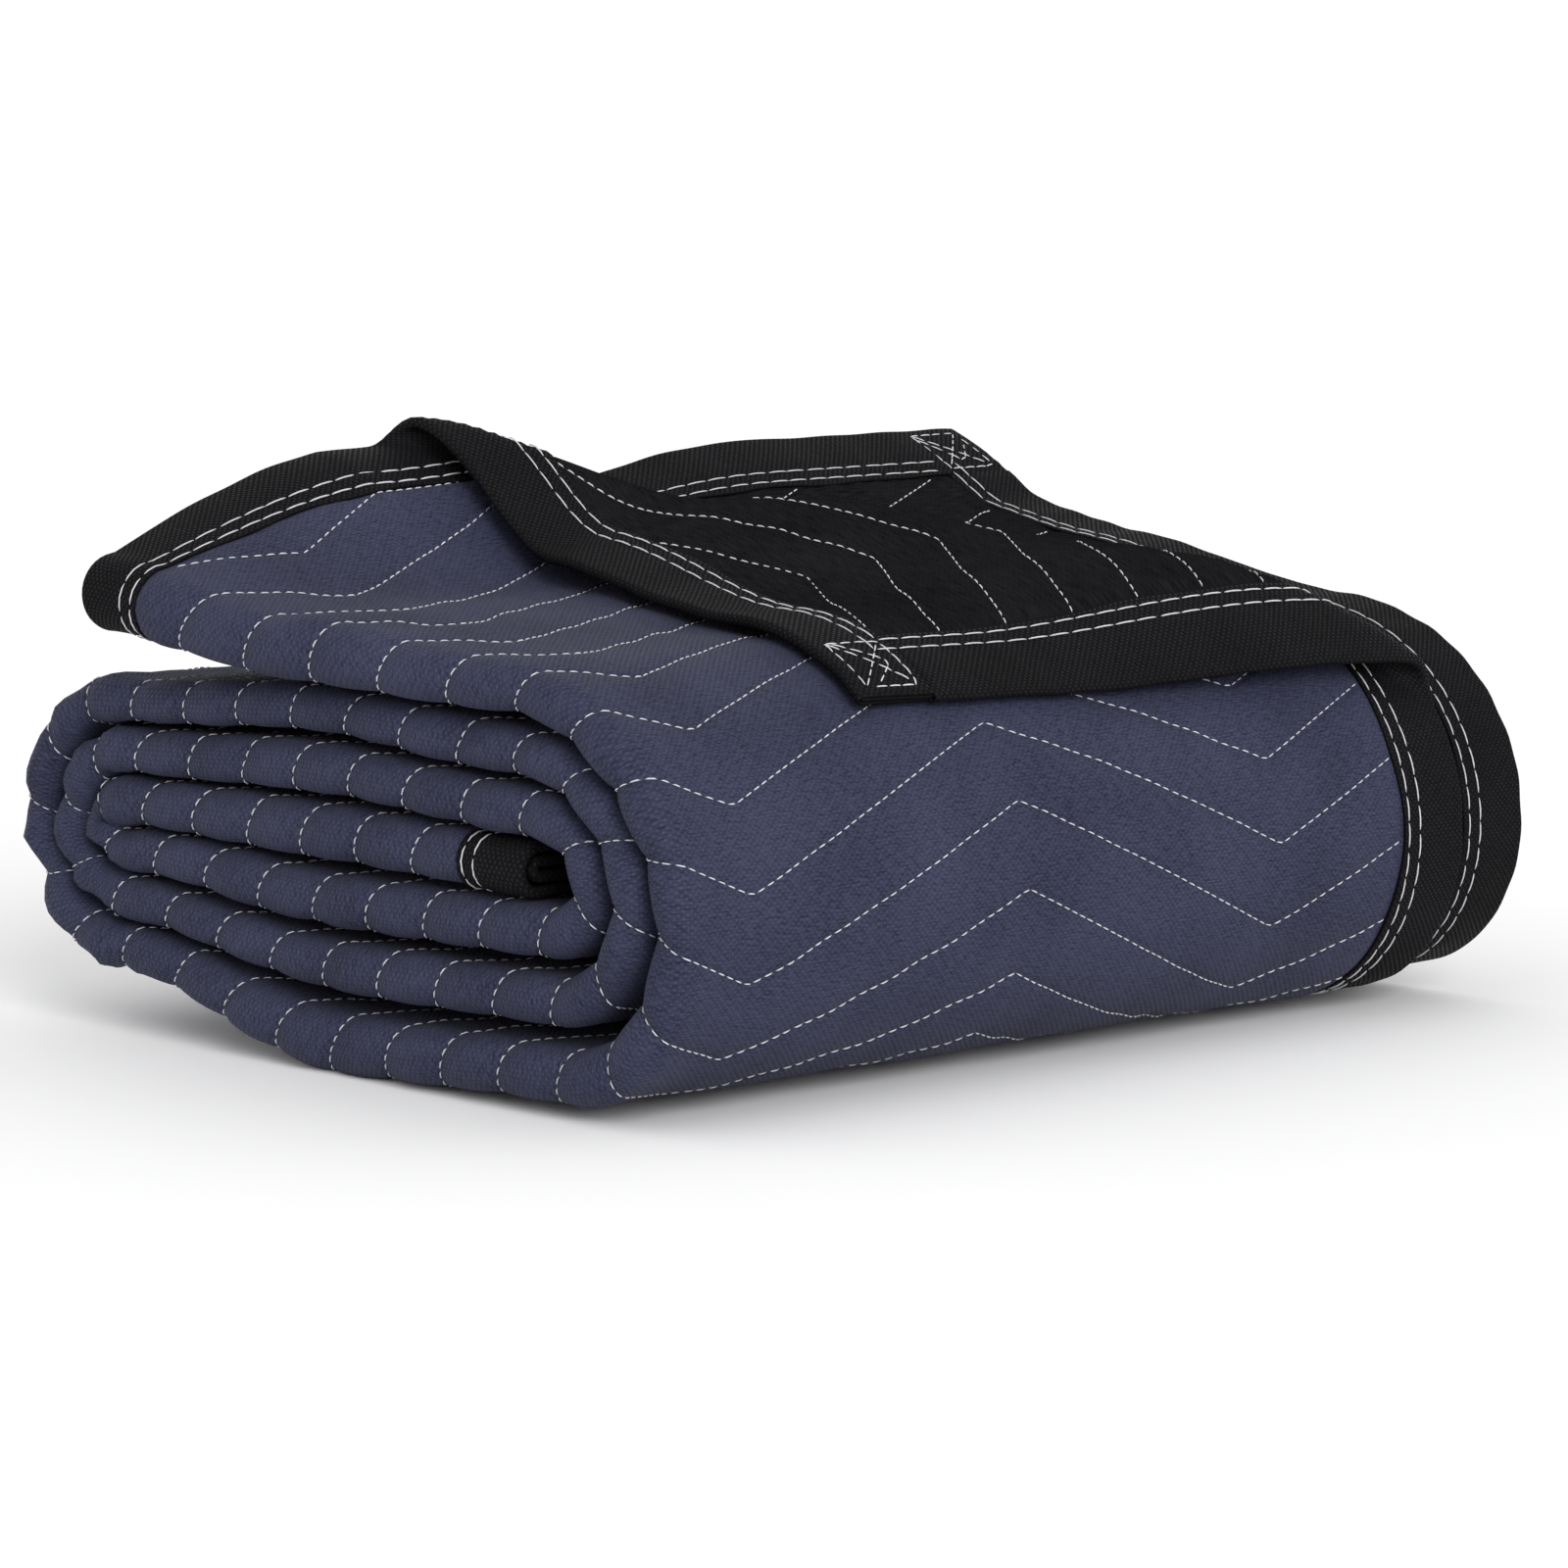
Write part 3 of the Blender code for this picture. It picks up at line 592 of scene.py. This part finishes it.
def lay_net():
    """Points of the flat cloth and the triangles between them."""
    pairs = []
    for name, row_from, row_to, steps, u_from, u_to, u_step in ZONES:
        spacing = QUILT_SPACING / steps
        first = FIRST_QUILT_ROW + QUILT_SPACING * row_from
        last = min(FIRST_QUILT_ROW + QUILT_SPACING * row_to, BLANKET_LENGTH)
        rows = np.arange(first, last - 0.4 * spacing, spacing)
        if row_from == 0:
            rows = np.concatenate([even_steps(0.0, first, EDGE_SPACING, False), rows])
        if row_to == LAST_ROW:
            rows = np.append(rows, BLANKET_LENGTH)
        columns = even_steps(u_from, u_to, u_step, u_to == BLANKET_WIDTH)
        pairs += [(row, column) for row in rows for column in columns]
    result = delaunay_2d_cdt([Vector(pair) for pair in pairs], [], [], 0, 0.0001)
    flat = np.array([tuple(vertex) for vertex in result[0]])
    faces = np.array([tuple(face) for face in result[2]])
    a, b, c = (flat[faces[:, corner]] for corner in range(3))
    turn = (b[:, 0] - a[:, 0]) * (c[:, 1] - a[:, 1]) - (b[:, 1] - a[:, 1]) * (c[:, 0] - a[:, 0])
    faces = faces[np.abs(turn) > 0.001]
    turn = turn[np.abs(turn) > 0.001]
    faces[turn > 0.0] = faces[turn > 0.0][:, ::-1]
    return flat, faces


def rim_of(faces):
    """Edges that only one face uses, in that face's direction."""
    size = faces.max() + 1
    edges = np.concatenate([faces[:, [i, (i + 1) % faces.shape[1]]] for i in range(faces.shape[1])])
    forward = edges[:, 0] * size + edges[:, 1]
    backward = edges[:, 1] * size + edges[:, 0]
    return edges[~np.isin(forward, backward)]


def make_piece(name, points, faces, flat, row=None):
    """A smooth mesh with its place on the flat cloth as its UV map, in metres."""
    mesh = bpy.data.meshes.new(name)
    mesh.from_pydata((points * MM).tolist(), [], [list(map(int, face)) for face in faces])
    corners = np.empty(len(mesh.loops), int)
    mesh.loops.foreach_get("vertex_index", corners)
    uv = mesh.uv_layers.new(name="flat_cloth")
    uv.data.foreach_set("uv", (flat[corners] * MM).ravel())
    if row is not None:
        attribute = mesh.attributes.new("quilt_row", "FLOAT", "POINT")
        attribute.data.foreach_set("value", row)
    mesh.polygons.foreach_set("use_smooth", np.ones(len(mesh.polygons), bool))
    mesh.update()
    piece = bpy.data.objects.new(name, mesh)
    bpy.context.collection.objects.link(piece)
    return piece


def close_skins(first, second, faces):
    """Points and faces of a thin solid between two skins that share their faces."""
    count = len(first)
    rim = rim_of(faces)
    sides = [(b, a, a + count, b + count) for a, b in rim]
    all_faces = list(map(tuple, faces)) + [tuple(face[::-1] + count) for face in faces] + sides
    return np.concatenate([first, second]), all_faces


def quilted_cloth(navy, black):
    """The blanket's quilted cloth: navy face, black back."""
    flat, faces = lay_net()
    marks = [float(mark) for mark in fold_lengths(np.array(USUAL_PITCH), np.array(0.0))[0]]
    swing = row_swing(flat[:, 0], flat[:, 1])
    along = flat[:, 0] - zigzag(flat[:, 1]) * swing
    across = true_across(flat[:, 1], along, marks)
    along = flat[:, 0] - zigzag(across) * swing
    half = ply_half(along, across)
    gather = puckers(along, across)
    front = place(along, across, half + gather)
    back = place(along, across, -half + gather)
    points, all_faces = close_skins(front, back, faces)
    on_cloth = np.stack([across, along], axis=-1)
    row = quilt_row(along, across)
    piece = make_piece("quilted_cloth_dressed", points, all_faces,
                       np.concatenate([on_cloth, on_cloth]), np.concatenate([row, row]))
    piece.data.materials.append(navy)
    piece.data.materials.append(black)
    number = np.zeros(len(all_faces), int)
    number[len(faces):] = 1
    piece.data.polygons.foreach_set("material_index", number)
    return piece


def tape_profile():
    """Places across the tape: distance in from the edge, and side from 1 (navy) to -1 (black)."""
    profile = [(distance, 1.0) for distance in TAPE_INSETS]
    for turn in np.linspace(0.5 * pi, -0.5 * pi, 7):
        profile.append((-TAPE_PAST_EDGE * cos(turn), sin(turn)))
    profile += [(distance, -1.0) for distance in reversed(TAPE_INSETS)]
    return np.array(profile)


def tape(name, stations, spot, seed, material):
    """A binding tape: spot(station, inward) gives along and across for a distance in from the edge."""
    profile = tape_profile()
    station, inward = np.meshgrid(stations, profile[:, 0], indexing="ij")
    side = np.broadcast_to(profile[:, 1], station.shape)
    walked = distance_along(profile[:, 0], profile[:, 1] * TAPE_OUTSIDE)
    width = np.broadcast_to(walked, station.shape)
    sewn = sum(np.exp(-((inward - inset) / SEWN_HALF) ** 2) for inset in TAPE_ROWS)
    wave = ripple(station, inward * 0.4, TAPE_WAVE_LENGTH, seed)
    wave = wave * smooth((BINDING_WIDTH - inward) / 6.0)
    border = BORDER_WANDER * ripple(station, 0.0 * station, BORDER_WAVE, seed + 1)
    border = border * smooth((inward - 19.0) / 5.0)
    along, across = spot(station, inward + border)
    skins = []
    for level in (TAPE_OUTSIDE, TAPE_INSIDE):
        off = side * (level - SEWN_DIP * sewn) + TAPE_WAVE * wave
        skins.append(place(along, across, off).reshape(-1, 3))
    rows, columns = station.shape
    index = np.arange(rows * columns).reshape(rows, columns)
    faces = np.stack([index[:-1, :-1], index[:-1, 1:], index[1:, 1:], index[1:, :-1]], axis=-1)
    faces = faces.reshape(-1, 4)
    points, all_faces = close_skins(skins[0], skins[1], faces)
    flat = np.stack([width, station], axis=-1).reshape(-1, 2)
    piece = make_piece(name, points, all_faces, np.concatenate([flat, flat]))
    piece.data.materials.append(material)
    turn_outward(piece)
    return piece


def turn_outward(piece):
    """Turn the faces over where the solid is inside out."""
    mesh = piece.data
    points = np.empty(len(mesh.vertices) * 3)
    mesh.vertices.foreach_get("co", points)
    points = points.reshape(-1, 3)
    mesh.calc_loop_triangles()
    triangles = np.empty(len(mesh.loop_triangles) * 3, int)
    mesh.loop_triangles.foreach_get("vertices", triangles)
    a, b, c = (points[triangles.reshape(-1, 3)[:, corner]] for corner in range(3))
    if np.einsum("ij,ij->i", a, np.cross(b, c)).sum() < 0.0:
        mesh.flip_normals()


def wrap_stations(start, stop):
    """Places along the cloth, closer together on the outer wrap."""
    outer = even_steps(start, OUTER_WRAP, TAPE_STEP_OUTER_WRAP, False)
    inner = even_steps(OUTER_WRAP, stop, TAPE_STEP_INNER_WRAPS, True)
    return np.concatenate([outer, inner])


def fold_stations():
    """Places across the cloth, closer together round the three lengthwise folds."""
    steps = []
    for start, stop, spacing in TAPE_ZONES:
        steps.append(even_steps(start, stop, spacing, stop == BLANKET_WIDTH))
    return np.concatenate(steps)


def bindings(black):
    """The four tapes over the two long edges and the two ends."""
    long_places = wrap_stations(BINDING_WIDTH, BLANKET_LENGTH - BINDING_WIDTH)
    end_places = fold_stations()
    return (
        tape("binding_long_outer_dressed", long_places, lambda s, i: (s, i), 21, black),
        tape("binding_long_inner_dressed", long_places, lambda s, i: (s, BLANKET_WIDTH - i), 31, black),
        tape("binding_end_outer_dressed", end_places, lambda s, i: (i, s), 41, black),
        tape("binding_end_inner_dressed", end_places, lambda s, i: (BLANKET_LENGTH - i, s), 51, black),
    )


def short_stitch():
    """One quilting stitch, a fat grain of thread along x, modelled once for all the rows."""
    bpy.ops.object.select_all(action="DESELECT")
    bpy.ops.mesh.primitive_ico_sphere_add(subdivisions=1, radius=1.0)
    grain = bpy.context.object
    bpy.ops.object.mode_set(mode="EDIT")
    bpy.ops.mesh.select_all(action="SELECT")
    bpy.ops.transform.rotate(value=0.5 * pi, orient_axis="Y")
    bpy.ops.transform.resize(value=(GRAIN_LENGTH, 1.0, 1.0))
    bpy.ops.object.mode_set(mode="OBJECT")
    return shape_of(grain)


def long_stitch():
    """One stitch over the tape, a round thread along x with thin ends, cut so that it can bend."""
    bpy.ops.object.select_all(action="DESELECT")
    bpy.ops.mesh.primitive_cylinder_add(vertices=5, radius=1.0, depth=1.0, end_fill_type="TRIFAN")
    grain = bpy.context.object
    bpy.ops.object.mode_set(mode="EDIT")
    for height in (-0.32, 0.0, 0.32):
        bpy.ops.mesh.select_all(action="SELECT")
        bpy.ops.mesh.bisect(plane_co=(0.0, 0.0, height), plane_no=(0.0, 0.0, 1.0))
    bpy.ops.mesh.select_all(action="SELECT")
    bpy.ops.mesh.quads_convert_to_tris()
    bpy.ops.transform.rotate(value=0.5 * pi, orient_axis="Y")
    bpy.ops.object.mode_set(mode="OBJECT")
    points, faces = shape_of(grain)
    points[np.abs(points[:, 0]) > 0.45, 1:] *= THREAD_END_TAPER
    return points, faces


def shape_of(grain):
    """Points and faces of a modelled stitch, which is then removed."""
    points = np.array([tuple(vertex.co) for vertex in grain.data.vertices])
    faces = np.array([tuple(face.vertices) for face in grain.data.polygons])
    bpy.data.objects.remove(grain, do_unlink=True)
    return points, faces


def sew(name, starts, ends, stitch, material):
    """One piece of many stitches, each between two (along, across, side, taped) places."""
    shape, shape_faces = stitch
    way = ends[:, :2] - starts[:, :2]
    length = np.hypot(way[:, 0], way[:, 1])[:, None]
    share = shape[None, :, 0] + 0.5
    aside = THREAD_RADIUS * shape[None, :, 1] / length
    along = starts[:, 0:1] + way[:, 0:1] * share + way[:, 1:2] * aside
    across = starts[:, 1:2] + way[:, 1:2] * share - way[:, 0:1] * aside
    side = starts[:, 2:3]
    on_cloth = side * (ply_half(along, across) + THREAD_LIFT) + puckers(along, across)
    on_tape = side * (TAPE_OUTSIDE - THREAD_IN_TAPE)
    base = np.where(starts[:, 3:4] > 0.0, on_tape, on_cloth)
    arch = THREAD_ARCH * (1.0 - 4.0 * shape[None, :, 0] ** 2)
    points = place(along, across, base + side * (THREAD_RADIUS * shape[None, :, 2] + arch))
    count = len(starts)
    faces = shape_faces[None] + (np.arange(count) * len(shape))[:, None, None]
    points = points.reshape(-1, 3)
    piece = make_piece(name, points, faces.reshape(-1, 3), np.zeros((len(points), 2)))
    piece.data.materials.append(material)
    turn_outward(piece)
    return piece


def stitch_line(line, pitch, shows, side, taped, seed):
    """Starts and ends of the stitches along a line of (along, across) points on the flat cloth."""
    line = np.asarray(line, float)
    length = distance_along(line[:, 0], line[:, 1])
    chance = np.random.default_rng(seed)
    count = int(length[-1] // pitch)
    spread = chance.uniform(-STITCH_SPREAD, STITCH_SPREAD, count) * pitch
    begin = (np.arange(count) + 0.1) * pitch + spread
    sets = []
    for at in (begin, begin + shows):
        along = np.interp(at, length, line[:, 0])
        across = np.interp(at, length, line[:, 1])
        extra = np.ones((count, 2)) * (side, taped)
        sets.append(np.concatenate([along[:, None], across[:, None], extra], axis=1))
    return sets


def quilting(patches):
    """Stitch ends of the quilting rows in some patches of the cloth."""
    starts, ends = [], []
    for side, first, past_last, across_from, across_to in patches:
        across = np.arange(across_from, across_to, 1.0)
        for number in range(first, past_last):
            along = FIRST_QUILT_ROW + number * QUILT_SPACING - zigzag(across)
            keep = (along > BINDING_WIDTH) & (along < BLANKET_LENGTH - BINDING_WIDTH)
            if keep.sum() < SHORTEST_ROW:
                continue
            line = np.stack([along[keep], across[keep]], axis=-1)
            begin, end = stitch_line(line, QUILT_STITCH, QUILT_STITCH_SHOWS, side, 0.0, number + 1)
            starts.append(begin)
            ends.append(end)
    return np.concatenate(starts), np.concatenate(ends)


def tape_sewing():
    """Stitch ends of the double rows on the four tapes and of the crossed boxes at two corners."""
    starts, ends = [], []
    width, length = BLANKET_WIDTH, BLANKET_LENGTH
    near, far = CORNER_BOX_NEAR, CORNER_BOX_FAR
    lines = []
    for inset in TAPE_ROWS:
        lines.append([(inset, inset), (length - BINDING_WIDTH, inset)])
        lines.append([(inset, width - inset), (length - BINDING_WIDTH, width - inset)])
        lines.append([(inset, inset), (inset, width - inset)])
        lines.append([(length - inset, inset), (length - inset, width - inset)])
    for u_near, u_far in ((near, far), (width - near, width - far)):
        lines.append([(near, u_near), (far, u_far)])
        lines.append([(near, u_far), (far, u_near)])
        lines.append([(near, u_near), (near, u_far), (far, u_far), (far, u_near), (near, u_near)])
        lines.append([(near + 2.0, u_far), (far - 3.0, 0.5 * (u_near + u_far)), (near + 4.0, u_near)])
    straight = 4 * len(TAPE_ROWS)
    for number, line in enumerate(lines):
        pitch, shows = TAPE_STITCH, TAPE_STITCH_SHOWS
        if number >= straight:
            pitch, shows = BOX_STITCH, BOX_STITCH_SHOWS
        for side in (1.0, -1.0):
            begin, end = stitch_line(line, pitch, shows, side, 1.0, 200 + number)
            starts.append(begin)
            ends.append(end)
    return np.concatenate(starts), np.concatenate(ends)


def threads(material):
    """All sewing thread, as three joined pieces."""
    starts, ends = quilting(FACE_QUILTING)
    face = sew("quilting_thread_on_face", starts, ends, short_stitch(), material)
    starts, ends = quilting(BACK_QUILTING)
    back = sew("quilting_thread_on_back", starts, ends, short_stitch(), material)
    starts, ends = tape_sewing()
    taped = sew("binding_thread", starts, ends, long_stitch(), material)
    return face, back, taped


def linear(code):
    """Linear colour from an sRGB hex code."""
    values = [int(code[i:i + 2], 16) / 255.0 for i in (0, 2, 4)]
    return tuple(v / 12.92 if v <= 0.04045 else ((v + 0.055) / 1.055) ** 2.4 for v in values) + (1.0,)


def add_node(tree, kind, settings=(), **inputs):
    """Add a node with settings and links or values for its inputs (named with _ for spaces)."""
    node = tree.nodes.new(kind)
    for key, value in dict(settings).items():
        setattr(node, key, value)
    for key, value in inputs.items():
        socket = node.inputs[int(key[1:])] if key[0] == "i" and key[1:].isdigit() else (
            node.inputs[key.replace("_", " ")])
        if isinstance(value, bpy.types.NodeSocket):
            tree.links.new(value, socket)
        else:
            socket.default_value = value
    return node


def felt(name, dark, light, painted_glint_colour, heading, fibre, dot_depth, dot_gloss, roughness, sheen,
         shine_level, quilted):
    """Point-bonded felt: streaky fibres under an even field of pressed dots that catch light; the dots'
    lighter colour is a painted glint.

    heading is the fibres' direction in degrees, fibre their length and width in millimetres.
    """
    material = bpy.data.materials.new(name)
    material.use_nodes = True
    tree = material.node_tree
    shader = tree.nodes["Principled BSDF"]
    shader.inputs["Sheen Weight"].default_value = sheen
    shader.inputs["Sheen Roughness"].default_value = 0.5
    shader.inputs["Specular IOR Level"].default_value = shine_level
    flat = add_node(tree, "ShaderNodeUVMap", {"uv_map": "flat_cloth"}).outputs["UV"]

    # Fibres, streaked one way, and slow uneven patches of dye
    turned = add_node(tree, "ShaderNodeMapping", Vector=flat, Rotation=(0.0, 0.0, radians(heading)),
                      Scale=(1.0 / (fibre[0] * MM), 1.0 / (fibre[1] * MM), 1.0)).outputs["Vector"]
    streaks = add_node(tree, "ShaderNodeTexNoise", Vector=turned, Scale=1.0, Detail=3.0).outputs["Fac"]
    patches = add_node(tree, "ShaderNodeTexNoise", Vector=flat, Scale=PATCHES, Detail=2.0).outputs["Fac"]
    both = add_node(tree, "ShaderNodeMath", {"operation": "MULTIPLY_ADD"},
                    i0=patches, i1=PATCH_WEIGHT, i2=streaks).outputs[0]
    share = add_node(tree, "ShaderNodeMapRange", Value=both,
                     From_Min=SHADE_DARK, From_Max=SHADE_LIGHT).outputs[0]
    colour = add_node(tree, "ShaderNodeMix", {"data_type": "RGBA"}, i0=share, i6=linear(dark),
                      i7=linear(light)).outputs[2]

    # Pressed dots in a staggered field, painted towards a lighter colour as a painted glint
    parts = add_node(tree, "ShaderNodeSeparateXYZ", Vector=flat).outputs
    waves = []
    for part in (parts[0], parts[1]):
        phase = add_node(tree, "ShaderNodeMath", {"operation": "MULTIPLY"},
                         i0=part, i1=pi / (DOT_PITCH * MM)).outputs[0]
        waves.append(add_node(tree, "ShaderNodeMath", {"operation": "SINE"}, i0=phase).outputs[0])
    product = add_node(tree, "ShaderNodeMath", {"operation": "MULTIPLY"},
                       i0=waves[0], i1=waves[1]).outputs[0]
    dots = add_node(tree, "ShaderNodeMapRange", {"interpolation_type": "SMOOTHSTEP"},
                    Value=product, From_Min=DOT_RIM, From_Max=DOT_FLOOR).outputs[0]
    # Painted glint: how far each dot is painted towards the lighter glint colour, scaled by the dye's
    # patches
    painted_glint_share = add_node(tree, "ShaderNodeMath", {"operation": "MULTIPLY"}, i0=dots, i1=patches).outputs[0]
    colour = add_node(tree, "ShaderNodeMix", {"data_type": "RGBA"}, i0=painted_glint_share, i6=colour,
                      i7=linear(painted_glint_colour)).outputs[2]
    tree.links.new(colour, shader.inputs["Base Color"])
    shine = add_node(tree, "ShaderNodeMath", {"operation": "MULTIPLY_ADD"},
                     i0=dots, i1=-dot_gloss, i2=roughness).outputs[0]
    tree.links.new(shine, shader.inputs["Roughness"])

    # Height in millimetres: fibres, dots and the drawn-in line of each quilting row
    height = add_node(tree, "ShaderNodeMath", {"operation": "MULTIPLY"},
                      i0=streaks, i1=FIBRE_RELIEF).outputs[0]
    height = add_node(tree, "ShaderNodeMath", {"operation": "MULTIPLY_ADD"},
                      i0=dots, i1=-dot_depth, i2=height).outputs[0]
    if quilted:
        row = add_node(tree, "ShaderNodeAttribute", {"attribute_name": "quilt_row"}).outputs["Fac"]
        near = add_node(tree, "ShaderNodeMath", {"operation": "PINGPONG"}, i0=row, i1=0.5).outputs[0]
        groove = add_node(tree, "ShaderNodeMapRange", {"interpolation_type": "SMOOTHERSTEP"},
                          Value=near, From_Min=0.0, From_Max=GROOVE_HALF).outputs[0]
        height = add_node(tree, "ShaderNodeMath", {"operation": "MULTIPLY_ADD"},
                          i0=groove, i1=GROOVE_DEPTH, i2=height).outputs[0]
    bump = add_node(tree, "ShaderNodeBump", Height=height, Distance=MM, Strength=1.0)
    tree.links.new(bump.outputs["Normal"], shader.inputs["Normal"])
    return material


def thread_material():
    """Spun polyester sewing thread: off-white, dull, with a soft edge glow."""
    material = bpy.data.materials.new("off_white_spun_polyester_thread")
    material.use_nodes = True
    tree = material.node_tree
    shader = tree.nodes["Principled BSDF"]
    shader.inputs["Roughness"].default_value = 0.65
    shader.inputs["Sheen Weight"].default_value = 0.2
    where = add_node(tree, "ShaderNodeTexCoord").outputs["Object"]
    grain = add_node(tree, "ShaderNodeTexNoise", Vector=where, Scale=THREAD_MOTTLING).outputs["Fac"]
    colour = add_node(tree, "ShaderNodeMix", {"data_type": "RGBA"}, i0=grain, i6=linear("A6A6AE"),
                      i7=linear("DCDCE0")).outputs[2]
    tree.links.new(colour, shader.inputs["Base Color"])
    return material


def floor_and_light():
    """Plain pale floor, white surroundings and two soft studio lamps."""
    bpy.ops.object.select_all(action="DESELECT")
    bpy.ops.mesh.primitive_plane_add(size=FLOOR_SIZE)
    floor = bpy.context.object
    floor.name = "floor"
    paint = bpy.data.materials.new("plain_white_floor")
    paint.use_nodes = True
    shader = paint.node_tree.nodes["Principled BSDF"]
    shader.inputs["Base Color"].default_value = FLOOR_SHADE
    shader.inputs["Roughness"].default_value = 0.9
    floor.data.materials.append(paint)

    world = bpy.context.scene.world or bpy.data.worlds.new("studio")
    bpy.context.scene.world = world
    world.use_nodes = True
    sky = world.node_tree.nodes["Background"]
    sky.inputs["Color"].default_value = (1.0, 1.0, 1.0, 1.0)
    seen = add_node(world.node_tree, "ShaderNodeLightPath").outputs["Is Camera Ray"]
    strength = add_node(world.node_tree, "ShaderNodeMapRange", Value=seen,
                        To_Min=SKY_LIGHT, To_Max=SKY_SEEN).outputs[0]
    world.node_tree.links.new(strength, sky.inputs["Strength"])
    for name, spot, spread, power in LAMPS:
        data = bpy.data.lights.new(name, "SUN")
        data.angle = radians(spread)
        data.energy = power
        lamp = bpy.data.objects.new(name, data)
        lamp.location = spot
        aim = LAMP_TARGET - Vector(spot)
        lamp.rotation_euler = aim.to_track_quat("-Z", "Y").to_euler()
        bpy.context.collection.objects.link(lamp)
    bpy.context.scene.view_settings.view_transform = "Standard"
    return floor


def set_camera():
    """Camera that sees the anchor point at its place in the picture."""
    heading, height = radians(CAMERA_HEADING), radians(CAMERA_HEIGHT)
    forward = Vector((-sin(heading) * cos(height), cos(heading) * cos(height), -sin(height)))
    right = Vector((cos(heading), sin(heading), 0.0))
    up = right.cross(forward)
    focal = CAMERA_LENS / CAMERA_SENSOR * PICTURE_WIDTH
    aside = (ANCHOR_IN_PICTURE[0] - 0.5 * PICTURE_WIDTH) / focal * CAMERA_DISTANCE
    below = (ANCHOR_IN_PICTURE[1] - 0.5 * PICTURE_WIDTH) / focal * CAMERA_DISTANCE
    data = bpy.data.cameras.new("camera")
    data.lens = CAMERA_LENS
    data.sensor_width = CAMERA_SENSOR
    data.clip_end = 40.0
    camera = bpy.data.objects.new("camera", data)
    camera.location = ANCHOR - forward * CAMERA_DISTANCE - right * aside + up * below
    camera.rotation_euler = Matrix((right, up, -forward)).transposed().to_euler()
    bpy.context.collection.objects.link(camera)
    bpy.context.scene.camera = camera


# The navy face: needled felt with slanting fibres and faint bonded dots that glint on the folds; the
# dots are painted a lighter navy as a painted glint
NAVY = felt("navy_point_bonded_needle_felt", dark="1C1D2E", light="393B52", painted_glint_colour="3E4056",
            heading=38.0, fibre=(2.8, 0.6), dot_depth=0.02, dot_gloss=0.35, roughness=0.88,
            sheen=0.02, shine_level=0.15, quilted=True)
# The black back: flat felt with fine upright ribs, darker and duller than the tape; its dots are painted
# a little lighter as a painted glint
BACK = felt("charcoal_point_bonded_felt_back", dark="0E0E0F", light="202022", painted_glint_colour="202022",
            heading=90.0, fibre=(6.0, 0.6), dot_depth=0.03, dot_gloss=0.10, roughness=0.92,
            sheen=0.0, shine_level=0.0, quilted=True)
# The binding: thin spunbond tape whose pressed dots give it a grainy silk sheen, a painted sheen: the
# dots are painted much lighter than the tape
TAPE = felt("black_spunbond_binding_tape", dark="0B0B0C", light="151517", painted_glint_colour="29292C",
            heading=20.0, fibre=(3.0, 0.9), dot_depth=0.06, dot_gloss=0.45, roughness=0.80,
            sheen=0.0, shine_level=0.04, quilted=False)
# The thread: twisted staple yarn, dull and slightly mottled, so that each stitch reads as one grain
THREAD = thread_material()

floor = floor_and_light()
cloth = quilted_cloth(NAVY, BACK)
long_outer, long_inner, end_outer, end_inner = bindings(TAPE)
face_thread, back_thread, tape_thread = threads(THREAD)

DRESSED = (
    (cloth, "navy_quilted_cloth", "quilted_cloth"),
    (long_outer, "black_binding", "binding_long_outer"),
    (long_inner, "black_binding", "binding_long_inner"),
    (end_outer, "black_binding", "binding_end_outer"),
    (end_inner, "black_binding", "binding_end_inner"),
    (face_thread, "navy_quilted_cloth", None),
    (back_thread, "navy_quilted_cloth", None),
    (tape_thread, "black_binding", None),
)
for piece, slot, node in DRESSED:
    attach(piece, "root")
    if node:
        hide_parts(node)

set_camera()
